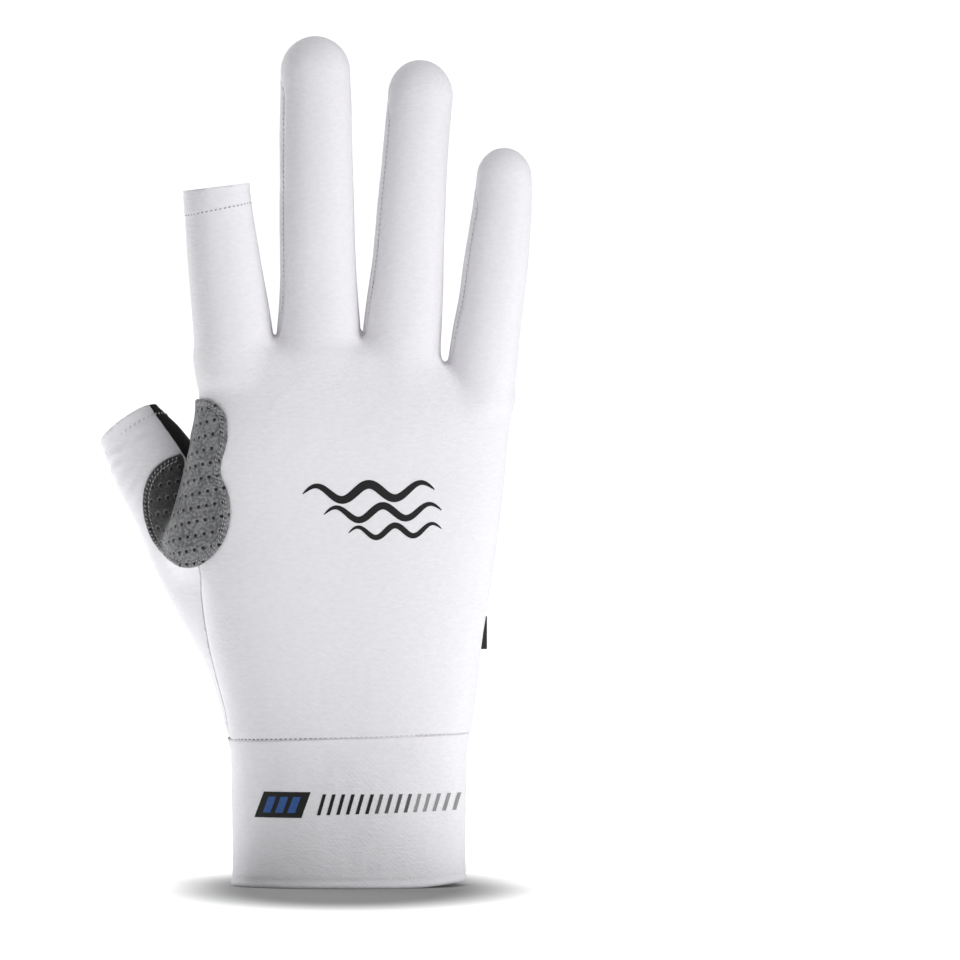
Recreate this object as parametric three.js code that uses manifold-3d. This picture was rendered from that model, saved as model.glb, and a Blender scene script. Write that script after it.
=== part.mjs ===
// A sun and fishing glove for the right hand: thin white knit over the back, grey grip cloth on the palm,
// three closed fingers, and an index finger and a thumb that are cut open below the tip.
// Millimetres. +Z runs from the cuff to the fingertips, the back of the hand faces -Y, the thumb points
// to -X. The origin is the centre of the cuff's open end.

import * as THREE from 'three';
import { mergeVertices } from 'three/addons/utils/BufferGeometryUtils.js';
import Module from 'manifold-3d';

const wasm = await Module();
wasm.setup();

// Sizes of the cuff and the hand
const CUFF_HEIGHT = 43;
const CUFF_WIDTH = 67.2;
const CUFF_DEPTH = 45;
const CUFF_WALL = 1.6;
const WRIST_WIDTH = 69.6;
const WRIST_DEPTH = 45;
const PALM_HEIGHT = 114;
const PALM_WIDTH = 90;
const PALM_DEPTH = 32;
const CLOTH = 1.2;
const SEAM_GAP = 0.3;

// Sizes of the fingers
const INDEX_LENGTH = 42;
const INDEX_WIDTH = 21;
const MIDDLE_LENGTH = 86;
const MIDDLE_WIDTH = 21.3;
const RING_LENGTH = 79;
const RING_WIDTH = 19.4;
const LITTLE_LENGTH = 54;
const LITTLE_WIDTH = 18.5;
const LITTLE_DROP = 8.3;
const FINGER_CURL = 5;
const GUSSET_FRONT = 4.2;
const PALM_SEAM = 4;

// Sizes of the thumb. Its root lies inside the wrist's edge and above the cuff, and the middle of its open
// rim lies outside the palm's edge and below the knuckles.
const THUMB_ROOT_INSET = 10.8;
const THUMB_ROOT_UP = 9;
const THUMB_ROOT_FORE = 6;
const THUMB_RIM_OUT = 18;
const THUMB_RIM_DROP = 25.5;
const THUMB_FORE = 17;
const THUMB_WIDTH = 26;
const THUMB_DEPTH = 25;

// Sizes of the patch over the web, and of the webbing and clip at the side
const PATCH_CLOTH = 1;
const PATCH_WRAP = 10;
const CLIP_UP = 29;
const CLIP_LENGTH = 12;
const CLIP_PLATE_WIDTH = 9.7;
const CLIP_THICKNESS = 1.8;
const CLIP_BAR = 1.7;
const CLIP_SLOT = 1.9;
const CLIP_RAIL = 0.45;
const CLIP_TURN = 14;
const WEBBING_WIDTH = 9.4;
const WEBBING_THICKNESS = 0.9;
const WEBBING_LENGTH = 5.4;
const WEBBING_INSET = 3.5;
const CLEARANCE = 0.3;

// Shapes of the sections: 2 is an ellipse, more is squarer
const HAND_FULLNESS = 2.5;
const CUFF_FULLNESS = 2.2;
const FINGER_FULLNESS = 2.15;
const WEBBING_FULLNESS = 4;
const FINGER_THICKNESS_SHARE = 0.9;

// Facets round each tube, and rings in each rounded fingertip
const HAND_SIDES = 40;
const FINGER_SIDES = 20;
const THUMB_SIDES = 24;
const TIP_RINGS = 4;
const OVERSHOOT = 5;
const FAR = 90;

// Sections of the hand. up: share of PALM_HEIGHT above the cuff. left, right and thick: 0 is the wrist's
// half size and 1 the palm's. fall: how much of the drop towards the little finger the ring takes.
const HAND_SECTIONS = [
  { up: 0.00, left: 0.00, right: 0.01, thick: 0.00, fall: 0 },
  { up: 0.08, left: 0.15, right: 0.13, thick: 0.10, fall: 0 },
  { up: 0.20, left: 0.45, right: 0.27, thick: 0.24, fall: 0 },
  { up: 0.34, left: 0.71, right: 0.50, thick: 0.42, fall: 0 },
  { up: 0.50, left: 0.90, right: 0.76, thick: 0.70, fall: 0 },
  { up: 0.66, left: 1.00, right: 0.95, thick: 0.93, fall: 0 },
  { up: 0.80, left: 0.92, right: 1.10, thick: 1.12, fall: 0.2 },
  { up: 0.91, left: 0.84, right: 1.24, thick: 1.52, fall: 0.7 },
  { up: 0.96, left: 0.80, right: 1.20, thick: 1.78, fall: 1 },
  { up: 1.00, left: 0.50, right: 0.95, thick: 2.15, fall: 1 },
];

// Each finger stands on the knuckle line. root and aside: shares of PALM_WIDTH. along: share of its length.
// wide and thick: shares of its width. tip: height of the rounded end as a share of its half width.
const FINGERS = {
  index: {
    length: INDEX_LENGTH, width: INDEX_WIDTH, root: -0.367, open: true, tip: 0,
    sections: [
      { along: -0.32, aside: 0.004, wide: 1.04, thick: 1.32 },
      { along: 0.00, aside: 0.000, wide: 1.08, thick: 1.13 },
      { along: 0.25, aside: -0.013, wide: 1.05, thick: 1.03 },
      { along: 0.52, aside: -0.029, wide: 0.99, thick: 0.96 },
      { along: 1.00, aside: -0.054, wide: 0.89, thick: 0.88 },
    ],
  },
  middle: {
    length: MIDDLE_LENGTH, width: MIDDLE_WIDTH, root: -0.096, open: false, tip: 0.98,
    sections: [
      { along: -0.16, aside: 0.000, wide: 1.10, thick: 1.32 },
      { along: 0.00, aside: 0.000, wide: 1.12, thick: 1.13 },
      { along: 0.12, aside: 0.000, wide: 1.06, thick: 1.04 },
      { along: 0.45, aside: -0.005, wide: 1.00, thick: 0.98 },
      { along: 0.88, aside: -0.011, wide: 0.95, thick: 0.92 },
    ],
  },
  ring: {
    length: RING_LENGTH, width: RING_WIDTH, root: 0.170, open: false, tip: 1.05,
    sections: [
      { along: -0.17, aside: -0.002, wide: 1.14, thick: 1.40 },
      { along: 0.00, aside: 0.000, wide: 1.16, thick: 1.20 },
      { along: 0.13, aside: 0.008, wide: 1.12, thick: 1.08 },
      { along: 0.28, aside: 0.017, wide: 1.05, thick: 1.01 },
      { along: 0.50, aside: 0.030, wide: 1.00, thick: 0.98 },
      { along: 0.87, aside: 0.056, wide: 0.95, thick: 0.94 },
    ],
  },
  little: {
    length: LITTLE_LENGTH, width: LITTLE_WIDTH, root: 0.433, open: false, tip: 0.95,
    sections: [
      { along: -0.40, aside: -0.022, wide: 1.06, thick: 1.42 },
      { along: -0.15, aside: -0.010, wide: 1.07, thick: 1.22 },
      { along: 0.05, aside: 0.005, wide: 1.05, thick: 1.08 },
      { along: 0.20, aside: 0.020, wide: 1.01, thick: 1.02 },
      { along: 0.41, aside: 0.036, wide: 1.00, thick: 0.98 },
      { along: 0.73, aside: 0.056, wide: 0.90, thick: 0.90 },
      { along: 0.86, aside: 0.061, wide: 0.84, thick: 0.84 },
    ],
  },
};

// Sections of the thumb. out, up and fore: shares of the way from its root to its rim. wide and thick: shares of THUMB_WIDTH and THUMB_DEPTH. tilt: degrees that the section leans.
// edge: where the white cloth ends on the palm side, as a share of the half width towards the outside.
const THUMB_SECTIONS = [
  { out: -0.03, up: -0.10, fore: 0.00, wide: 0.86, thick: 1.05, tilt: 0, edge: 0.10 },
  { out: 0.00, up: 0.00, fore: 0.00, wide: 0.92, thick: 1.15, tilt: 10, edge: 0.15 },
  { out: 0.09, up: 0.175, fore: 0.25, wide: 1.00, thick: 1.20, tilt: 20, edge: 0.28 },
  { out: 0.20, up: 0.316, fore: 0.45, wide: 1.15, thick: 1.20, tilt: 27, edge: 0.36 },
  { out: 0.42, up: 0.520, fore: 0.72, wide: 1.18, thick: 1.12, tilt: 27, edge: 0.42 },
  { out: 0.625, up: 0.718, fore: 0.90, wide: 1.08, thick: 1.02, tilt: 28, edge: 0.55 },
  { out: 0.815, up: 0.862, fore: 0.98, wide: 0.985, thick: 0.90, tilt: 31, edge: 0.58 },
  { out: 1.00, up: 0.993, fore: 1.00, wide: 0.74, thick: 0.76, tilt: 35, edge: 0.55 },
];

// Seams and the patch, on the flat view of the hand. aside: share of PALM_WIDTH.
// up: share of the height from the cuff to the web between thumb and index finger.
const THUMB_SEAM_PALM = [
  { aside: -0.500, up: 1.006 },
  { aside: -0.460, up: 1.000 },
  { aside: -0.416, up: 0.961 },
  { aside: -0.344, up: 0.896 },
  { aside: -0.283, up: 0.819 },
  { aside: -0.222, up: 0.732 },
  { aside: -0.152, up: 0.561 },
  { aside: -0.111, up: 0.346 },
  { aside: -0.084, up: 0.184 },
  { aside: -0.067, up: -0.068 },
];
const THUMB_SEAM_BACK = [
  { aside: -0.500, up: 1.006 },
  { aside: -0.514, up: 0.866 },
  { aside: -0.511, up: 0.725 },
  { aside: -0.480, up: 0.576 },
  { aside: -0.474, up: 0.461 },
  { aside: -0.458, up: 0.343 },
  { aside: -0.428, up: 0.197 },
  { aside: -0.400, up: 0.081 },
  { aside: -0.380, up: -0.068 },
];
const PATCH_OUTLINE = [
  { aside: -0.447, up: 1.142 },
  { aside: -0.391, up: 1.098 },
  { aside: -0.384, up: 1.019 },
  { aside: -0.403, up: 0.896 },
  { aside: -0.378, up: 0.819 },
  { aside: -0.374, up: 0.751 },
  { aside: -0.400, up: 0.665 },
  { aside: -0.442, up: 0.606 },
  { aside: -0.502, up: 0.573 },
  { aside: -0.559, up: 0.596 },
  { aside: -0.617, up: 0.655 },
  { aside: -0.651, up: 0.747 },
  { aside: -0.651, up: 0.832 },
  { aside: -0.629, up: 0.889 },
  { aside: -0.581, up: 0.938 },
  { aside: -0.537, up: 0.969 },
  { aside: -0.525, up: 1.030 },
  { aside: -0.515, up: 1.125 },
];

// Places that several pieces share
const KNUCKLES = CUFF_HEIGHT + PALM_HEIGHT;
const HALF_GAP = SEAM_GAP / 2;
const REACH = PALM_WIDTH + THUMB_RIM_OUT + THUMB_WIDTH;
const TOP = KNUCKLES + Math.max(INDEX_LENGTH, MIDDLE_LENGTH, RING_LENGTH, LITTLE_LENGTH) + 20;
const RADIANS = Math.PI / 180;

// Materials

function cloth(color, roughness) {
  return new THREE.MeshStandardMaterial({ color, roughness, metalness: 0, side: THREE.DoubleSide });
}

const WHITE_KNIT = cloth(0xecebf0, 0.8);
const GREY_GRIP = cloth(0x727273, 0.95);
const BLACK_STRIP = cloth(0x1c1b1a, 0.7);
const BLACK_WEBBING = cloth(0x151515, 0.85);
const BLACK_PLASTIC = cloth(0x202022, 0.45);

// From three.js geometry to a solid and back

function solidOf(geometry) {
  const plain = geometry.clone();
  plain.deleteAttribute('normal');
  plain.deleteAttribute('uv');
  const merged = mergeVertices(plain, 1e-5);
  const vertProperties = new Float32Array(merged.attributes.position.array);
  const triVerts = new Uint32Array(merged.index.array);
  return new wasm.Manifold(new wasm.Mesh({ numProp: 3, vertProperties, triVerts }));
}

function pieceOf(name, solid, material) {
  const { vertProperties, triVerts } = solid.getMesh();
  const geometry = new THREE.BufferGeometry();
  geometry.setAttribute('position', new THREE.BufferAttribute(new Float32Array(vertProperties), 3));
  geometry.setIndex(new THREE.BufferAttribute(new Uint32Array(triVerts), 1));
  geometry.computeVertexNormals();
  const piece = new THREE.Mesh(geometry, material);
  piece.name = name;
  return piece;
}

// A ring of points on a super-ellipse; across and through are its two unit directions.
function ovalRing({ centre, across, through, halfWide, halfThick, fullness, sides }) {
  const points = [];
  for (let side = 0; side < sides; side += 1) {
    const angle = (side / sides) * 2 * Math.PI;
    const c = Math.cos(angle);
    const s = Math.sin(angle);
    const wide = halfWide * Math.sign(c) * Math.abs(c) ** (2 / fullness);
    const thick = halfThick * Math.sign(s) * Math.abs(s) ** (2 / fullness);
    points.push(centre.clone().addScaledVector(across, wide).addScaledVector(through, thick));
  }
  return points;
}

// A closed solid through rings that run from the lowest to the highest.
function loft(rings) {
  const sides = rings[0].length;
  const positions = [];
  const indices = [];
  for (const ring of rings) {
    for (const point of ring) positions.push(point.x, point.y, point.z);
  }
  for (let level = 0; level + 1 < rings.length; level += 1) {
    for (let side = 0; side < sides; side += 1) {
      const next = (side + 1) % sides;
      const low = level * sides;
      const high = low + sides;
      indices.push(low + side, low + next, high + next, low + side, high + next, high + side);
    }
  }
  const ends = [rings[0], rings[rings.length - 1]];
  ends.forEach((ring, end) => {
    const middle = new THREE.Vector3();
    for (const point of ring) middle.addScaledVector(point, 1 / sides);
    const centre = positions.length / 3;
    const first = end === 0 ? 0 : (rings.length - 1) * sides;
    positions.push(middle.x, middle.y, middle.z);
    for (let side = 0; side < sides; side += 1) {
      const next = (side + 1) % sides;
      if (end === 0) indices.push(centre, first + next, first + side);
      else indices.push(centre, first + side, first + next);
    }
  });
  const geometry = new THREE.BufferGeometry();
  geometry.setAttribute('position', new THREE.Float32BufferAttribute(positions, 3));
  geometry.setIndex(indices);
  return solidOf(geometry);
}

// Straight-line value of one column of a table between its rows.
function between(rows, key, at, column) {
  const last = rows.length - 1;
  if (at <= rows[0][key]) return rows[0][column];
  if (at >= rows[last][key]) return rows[last][column];
  const above = rows.findIndex((row) => row[key] > at);
  const low = rows[above - 1];
  const high = rows[above];
  const share = (at - low[key]) / (high[key] - low[key]);
  return THREE.MathUtils.lerp(low[column], high[column], share);
}

const ACROSS = new THREE.Vector3(1, 0, 0);
const THROUGH = new THREE.Vector3(0, 1, 0);

// The hand

function handEdges(up) {
  const share = (column) => between(HAND_SECTIONS, 'up', up, column);
  return {
    left: -THREE.MathUtils.lerp(WRIST_WIDTH / 2, PALM_WIDTH / 2, share('left')),
    right: THREE.MathUtils.lerp(WRIST_WIDTH / 2, PALM_WIDTH / 2, share('right')),
    halfThick: THREE.MathUtils.lerp(WRIST_DEPTH / 2, PALM_DEPTH / 2, share('thick')),
  };
}

const RING_ROOT = FINGERS.ring.root * PALM_WIDTH;
const LITTLE_ROOT = FINGERS.little.root * PALM_WIDTH;

// The top of the hand is level under the first three fingers and falls towards the little one.
function crotchFall(x) {
  const half = (LITTLE_ROOT - RING_ROOT) / 2;
  return -LITTLE_DROP * THREE.MathUtils.clamp((x - RING_ROOT) / half, 0, 1.4);
}

function handSolid(grow) {
  const rings = HAND_SECTIONS.map((row, index) => {
    const { left, right, halfThick } = handEdges(row.up);
    const top = index === HAND_SECTIONS.length - 1;
    const ring = ovalRing({
      centre: new THREE.Vector3((left + right) / 2, 0, CUFF_HEIGHT + row.up * PALM_HEIGHT + (top ? grow : 0)),
      across: ACROSS,
      through: THROUGH,
      halfWide: (right - left) / 2 + grow,
      halfThick: halfThick + grow,
      fullness: HAND_FULLNESS,
      sides: HAND_SIDES,
    });
    for (const point of ring) point.z += row.fall * crotchFall(point.x);
    return ring;
  });
  const skirt = rings[0].map((point) => point.clone().setZ(CUFF_HEIGHT - OVERSHOOT));
  return loft([skirt, ...rings]);
}

// The fingers

// The fingers bend towards the palm, the more the further from the knuckles.
function bend(z) {
  return FINGER_CURL * (Math.max(0, z - KNUCKLES) / MIDDLE_LENGTH) ** 2;
}

function fingerCentre(finger, along, lift = 0) {
  const aside = between(finger.sections, 'along', along, 'aside');
  const z = KNUCKLES + along * finger.length + lift;
  return new THREE.Vector3((finger.root + aside) * PALM_WIDTH, bend(z), z);
}

function fingerRing(finger, along, grow, shrink, lift) {
  const wide = between(finger.sections, 'along', along, 'wide') * finger.width;
  const thick = between(finger.sections, 'along', along, 'thick') * finger.width * FINGER_THICKNESS_SHARE;
  return ovalRing({
    centre: fingerCentre(finger, along, lift),
    across: ACROSS,
    through: THROUGH,
    halfWide: (wide / 2 + grow) * shrink,
    halfThick: (thick / 2 + grow) * shrink,
    fullness: FINGER_FULLNESS,
    sides: FINGER_SIDES,
  });
}

function fingerSolid(finger, grow) {
  const rings = finger.sections
    .filter((row) => row.along < fingerShoulder(finger))
    .map((row) => fingerRing(finger, row.along, grow, 1, 0));
  if (finger.open) {
    rings.push(fingerRing(finger, 1, grow, 1, grow < 0 ? OVERSHOOT : 0));
    return loft(rings);
  }
  const shoulder = fingerShoulder(finger);
  const tip = (1 - shoulder) * finger.length + grow;
  for (let step = 0; step <= TIP_RINGS; step += 1) {
    const angle = (step / (TIP_RINGS + 0.5)) * (Math.PI / 2);
    rings.push(fingerRing(finger, shoulder, grow, Math.cos(angle), tip * Math.sin(angle)));
  }
  return loft(rings);
}

// Where the rounded end of a closed finger begins, as a share of its length.
function fingerShoulder(finger) {
  return 1 - (finger.tip * finger.width) / 2 / finger.length;
}

// The thumb

const THUMB_ROOT = new THREE.Vector3(
  THUMB_ROOT_INSET - WRIST_WIDTH / 2,
  THUMB_ROOT_FORE,
  CUFF_HEIGHT + THUMB_ROOT_UP,
);
const THUMB_RIM = new THREE.Vector3(
  -PALM_WIDTH / 2 - THUMB_RIM_OUT,
  THUMB_ROOT_FORE + THUMB_FORE,
  KNUCKLES - THUMB_RIM_DROP,
);

function thumbPlace(row) {
  return new THREE.Vector3(
    THREE.MathUtils.lerp(THUMB_ROOT.x, THUMB_RIM.x, row.out),
    THREE.MathUtils.lerp(THUMB_ROOT.y, THUMB_RIM.y, row.fore),
    THREE.MathUtils.lerp(THUMB_ROOT.z, THUMB_RIM.z, row.up),
  );
}

function thumbAcross(row) {
  return new THREE.Vector3(Math.cos(row.tilt * RADIANS), 0, Math.sin(row.tilt * RADIANS));
}

function thumbSolid(grow) {
  const rings = THUMB_SECTIONS.map((row) => ovalRing({
    centre: thumbPlace(row),
    across: thumbAcross(row),
    through: THROUGH,
    halfWide: (row.wide * THUMB_WIDTH) / 2 + grow,
    halfThick: (row.thick * THUMB_DEPTH) / 2 + grow,
    fullness: FINGER_FULLNESS,
    sides: THUMB_SIDES,
  }));
  if (grow < 0) {
    const rim = THUMB_SECTIONS[THUMB_SECTIONS.length - 1];
    const outwards = THROUGH.clone().cross(thumbAcross(rim)).multiplyScalar(-OVERSHOOT);
    rings.push(rings[rings.length - 1].map((point) => point.clone().add(outwards)));
  }
  return loft(rings);
}

// A point of the thumb's flat view, a share of the half width away from the middle.
function thumbEdge(row, share) {
  return thumbPlace(row).addScaledVector(thumbAcross(row), (share * row.wide * THUMB_WIDTH) / 2);
}

// The whole hand form, grown or shrunk all over

function handForm(grow, fingers) {
  let form = handSolid(grow).add(thumbSolid(grow));
  for (const finger of fingers) form = form.add(fingerSolid(finger, grow));
  return form;
}

// Cutters: an outline of the flat view, carried through the hand from near to far

function flatten(point) {
  return new THREE.Vector2(point.x, point.z);
}

// The web is the notch where the thumb's upper edge meets the hand.
const WEB = flatten(thumbEdge(THUMB_SECTIONS[THUMB_SECTIONS.length - 2], 1));

function flatPoint({ aside, up }) {
  return new THREE.Vector2(aside * PALM_WIDTH, THREE.MathUtils.lerp(CUFF_HEIGHT, WEB.y, up));
}

// Moves every side of a closed outline outwards by one distance, inwards where it is negative.
function widened(outline, distance) {
  const turn = THREE.ShapeUtils.isClockWise(outline) ? -1 : 1;
  return outline.map((point, index) => {
    const before = outline[(index + outline.length - 1) % outline.length];
    const after = outline[(index + 1) % outline.length];
    const into = point.clone().sub(before).normalize();
    const away = after.clone().sub(point).normalize();
    const first = new THREE.Vector2(into.y, -into.x);
    const second = new THREE.Vector2(away.y, -away.x);
    const miter = first.clone().add(second).normalize();
    const stretch = distance / Math.max(0.5, miter.dot(first));
    return point.clone().addScaledVector(miter, turn * stretch);
  });
}

function slab(outline, near, far) {
  const geometry = new THREE.ExtrudeGeometry(new THREE.Shape(outline), { depth: 1, bevelEnabled: false });
  geometry.rotateX(Math.PI / 2);
  const place = geometry.attributes.position;
  for (let index = 0; index < place.count; index += 1) {
    const x = place.getX(index);
    const z = place.getZ(index);
    const low = typeof near === 'function' ? near(x, z) : near;
    const high = typeof far === 'function' ? far(x, z) : far;
    place.setY(index, THREE.MathUtils.lerp(high, low, -place.getY(index)));
  }
  return solidOf(geometry);
}

function box(left, right, near, far, low, high) {
  const outline = [[left, low], [right, low], [right, high], [left, high]];
  return slab(outline.map(([x, z]) => new THREE.Vector2(x, z)), near, far);
}

// Everything between two depths, which follow the bend of the fingers.
function layerBetween(near, far) {
  const steps = 8;
  const heights = [-OVERSHOOT];
  for (let step = 0; step <= steps; step += 1) {
    heights.push(THREE.MathUtils.lerp(KNUCKLES, TOP, step / steps));
  }
  const line = (depth) => heights.map((z) => new THREE.Vector2(-z, depth + bend(z)));
  const shape = new THREE.Shape([...line(far), ...line(near).reverse()]);
  const geometry = new THREE.ExtrudeGeometry(shape, { depth: 2 * REACH, bevelEnabled: false });
  geometry.translate(0, 0, -REACH);
  geometry.rotateY(Math.PI / 2);
  return solidOf(geometry);
}

// The hollow shell above the cuff

const ALL_FINGERS = Object.values(FINGERS);
const outer = handForm(0, ALL_FINGERS);
const inner = handForm(-CLOTH, ALL_FINGERS);
const aboveCuff = box(-REACH, REACH, -FAR, FAR, CUFF_HEIGHT + HALF_GAP, TOP);
const shell = outer.subtract(inner).intersect(aboveCuff);

// The gussets run up the sides of two neighbours and round the crotch between them.
const GUSSET_BELOW = 9;
const GUSSET_TIP_SHARE = 0.7;

function gussetTop(finger) {
  if (finger.open) return KNUCKLES + finger.length + OVERSHOOT;
  return KNUCKLES + finger.length - (GUSSET_TIP_SHARE * finger.tip * finger.width) / 2;
}

function gussetSide(finger, top) {
  const points = [];
  const steps = 6;
  const low = KNUCKLES - GUSSET_BELOW - LITTLE_DROP;
  for (let step = 0; step <= steps; step += 1) {
    const z = THREE.MathUtils.lerp(low, top, step / steps);
    points.push(new THREE.Vector2(fingerCentre(finger, (z - KNUCKLES) / finger.length).x, z));
  }
  return points;
}

function gussetOutline(first, second) {
  const left = gussetSide(first, gussetTop(first));
  const right = gussetSide(second, gussetTop(second));
  const middle = (left[left.length - 1].x + right[right.length - 1].x) / 2;
  const steps = [
    new THREE.Vector2(middle, left[left.length - 1].y),
    new THREE.Vector2(middle, right[right.length - 1].y),
  ];
  return [...right, ...steps.reverse(), ...left.reverse()];
}

function gussetCutter(first, second, grow) {
  const outline = widened(gussetOutline(first, second), grow);
  return slab(outline, -FAR, FAR).intersect(layerBetween(-GUSSET_FRONT - grow, PALM_SEAM + grow));
}

const GUSSETS = [
  ['gusset_index_middle', FINGERS.index, FINGERS.middle],
  ['gusset_middle_ring', FINGERS.middle, FINGERS.ring],
  ['gusset_ring_little', FINGERS.ring, FINGERS.little],
];

// The thumb's cloth: on the palm it ends at the seam round the ball of the thumb, on the back beside the hand.
const WEB_SIDE = 3.5;
const WEB_RISE = 5;
const WEB_EDGE = -1.2;
const WEB_CLIMB = 1.7;

// Above the web the thumb's part ends at a line that climbs away from the index finger.
function thumbOutline(seam) {
  const line = seam.map(flatPoint);
  const low = line[line.length - 1].y;
  const notch = new THREE.Vector2(WEB.x - WEB_SIDE, WEB.y + WEB_RISE);
  return [
    ...line,
    new THREE.Vector2(-REACH, low),
    new THREE.Vector2(-REACH, notch.y + WEB_CLIMB * (notch.x + REACH)),
    notch,
  ];
}

function thumbCutter(grow) {
  const back = slab(widened(thumbOutline(THUMB_SEAM_BACK), grow), -FAR, PALM_SEAM + HALF_GAP + grow);
  const palm = slab(widened(thumbOutline(THUMB_SEAM_PALM), grow), PALM_SEAM - HALF_GAP - grow, FAR);
  return back.add(palm);
}

// The surface that parts the thumb's back from its palm side runs along the thumb's middle.
function thumbMiddle(x, z) {
  const up = (z - THUMB_ROOT.z) / (THUMB_RIM.z - THUMB_ROOT.z);
  return THREE.MathUtils.lerp(THUMB_ROOT.y, THUMB_RIM.y, between(THUMB_SECTIONS, 'up', up, 'fore'));
}

// The grip cloth lies behind that surface on the thumb, and behind the palm's seam beside the web.
function thumbGripCutter(grow) {
  const low = CUFF_HEIGHT - OVERSHOOT;
  const rim = THUMB_SECTIONS[THUMB_SECTIONS.length - 1];
  const border = THUMB_SECTIONS.map((row) => flatten(thumbEdge(row, -row.edge)));
  const line = [
    new THREE.Vector2(border[0].x, low),
    ...border,
    border[border.length - 1].clone().add(pastRim(rim)),
    flatten(thumbEdge(rim, 2)).add(pastRim(rim)),
  ];
  const besideWeb = border.map(({ x, y }) => new THREE.Vector2(Math.max(x, WEB.x + WEB_EDGE), y));
  const onThumb = [...line, new THREE.Vector2(0, TOP), new THREE.Vector2(0, low)].reverse();
  const onHand = [
    new THREE.Vector2(border[0].x, low),
    ...besideWeb,
    new THREE.Vector2(WEB.x + WEB_EDGE, TOP),
    new THREE.Vector2(REACH, TOP),
    new THREE.Vector2(REACH, low),
  ].reverse();
  const thumb = slab(widened(onThumb, grow), (x, z) => thumbMiddle(x, z) - grow, FAR);
  return thumb.add(slab(widened(onHand, grow), PALM_SEAM - grow, FAR));
}

// From the thumb's rim straight outwards, past everything.
function pastRim(rim) {
  const lean = thumbAcross(rim);
  return new THREE.Vector2(-lean.z, lean.x).multiplyScalar(OVERSHOOT * 2);
}

// The strip along the thumb's upper edge is narrow at the rim and wider at the web.
function thumbStripCutter(grow) {
  const [web, rim] = THUMB_SECTIONS.slice(-2);
  const past = pastRim(rim);
  const rimShare = 0.84;
  const webShare = 0.72;
  const outline = [
    flatten(thumbEdge(rim, rimShare)).add(past),
    flatten(thumbEdge(rim, rimShare)),
    flatten(thumbEdge(web, webShare)),
    flatten(thumbEdge(web, 2)),
    flatten(thumbEdge(rim, 2)).add(past),
  ];
  return slab(widened(outline, grow), -FAR, FAR);
}

// The patch is a second layer of cloth over the web and beside it.
function patchOutline() {
  const points = PATCH_OUTLINE.map(flatPoint).map(({ x, y }) => new THREE.Vector3(x, y, 0));
  const curve = new THREE.CatmullRomCurve3(points, true, 'centripetal');
  return curve.getPoints(44).slice(0, -1).map(({ x, y }) => new THREE.Vector2(x, y));
}

function patchSolid() {
  const near = [FINGERS.index];
  const layer = handForm(SEAM_GAP + PATCH_CLOTH, near).subtract(handForm(SEAM_GAP, near));
  return layer.intersect(slab(patchOutline(), -FAR, PATCH_WRAP));
}

// The cuff: a short tube with a hem at its open end

const CUFF_SECTIONS = [
  { up: 0.00, wide: 1.000, thick: 1.00 },
  { up: 0.17, wide: 0.995, thick: 1.00 },
  { up: 0.60, wide: 0.998, thick: 1.00 },
  { up: 0.86, wide: 1.003, thick: 1.00 },
  { up: 1.00, wide: 1.034, thick: 1.00 },
];

function cuffSolid(grow) {
  const rings = CUFF_SECTIONS.map(({ up, wide, thick }, index) => {
    const first = index === 0 && grow < 0 ? -OVERSHOOT : 0;
    const last = index === CUFF_SECTIONS.length - 1 && grow < 0 ? OVERSHOOT : -HALF_GAP;
    const ends = index === 0 ? first : last;
    const inside = index > 0 && index < CUFF_SECTIONS.length - 1;
    return ovalRing({
      centre: new THREE.Vector3(0, 0, up * CUFF_HEIGHT + (inside ? 0 : ends)),
      across: ACROSS,
      through: THROUGH,
      halfWide: (wide * CUFF_WIDTH) / 2 + grow,
      halfThick: (thick * CUFF_DEPTH) / 2 + grow,
      fullness: CUFF_FULLNESS,
      sides: HAND_SIDES,
    });
  });
  return loft(rings);
}

// The webbing loop and the clip, drawn flat: x away from the glove, y up the hand, z outwards

function rounded(points, radius) {
  const shape = new THREE.Shape();
  points.forEach((point, index) => {
    const before = points[(index + points.length - 1) % points.length];
    const after = points[(index + 1) % points.length];
    const start = point.clone().addScaledVector(before.clone().sub(point).normalize(), radius);
    const end = point.clone().addScaledVector(after.clone().sub(point).normalize(), radius);
    if (index === 0) shape.moveTo(start.x, start.y);
    else shape.lineTo(start.x, start.y);
    shape.quadraticCurveTo(point.x, point.y, end.x, end.y);
  });
  shape.closePath();
  return shape;
}

const corner = (x, y) => new THREE.Vector2(x, y);

function clipGeometry() {
  const slotHalf = WEBBING_WIDTH / 2 + CLEARANCE;
  const half = slotHalf + CLIP_RAIL;
  const plate = CLIP_PLATE_WIDTH / 2;
  const shoulder = CLIP_LENGTH * 0.42;
  const tongue = CLIP_LENGTH * 0.66;
  const slit = CLIP_PLATE_WIDTH * 0.055;
  const outline = rounded([
    corner(0, -half),
    corner(shoulder, -half),
    corner(shoulder + 0.6, -plate),
    corner(CLIP_LENGTH, -plate),
    corner(CLIP_LENGTH, -slit),
    corner(tongue, -slit),
    corner(tongue, slit),
    corner(CLIP_LENGTH, slit),
    corner(CLIP_LENGTH, plate),
    corner(shoulder + 0.6, plate),
    corner(shoulder, half),
    corner(0, half),
  ], slit * 0.6);
  outline.holes.push(rounded([
    corner(CLIP_BAR, -slotHalf),
    corner(CLIP_BAR + CLIP_SLOT, -slotHalf),
    corner(CLIP_BAR + CLIP_SLOT, slotHalf),
    corner(CLIP_BAR, slotHalf),
  ].reverse(), 0.3));
  outline.holes.push(clipChannel());
  return new THREE.ExtrudeGeometry(outline, { depth: CLIP_THICKNESS, bevelEnabled: false, curveSegments: 3 });
}

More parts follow.
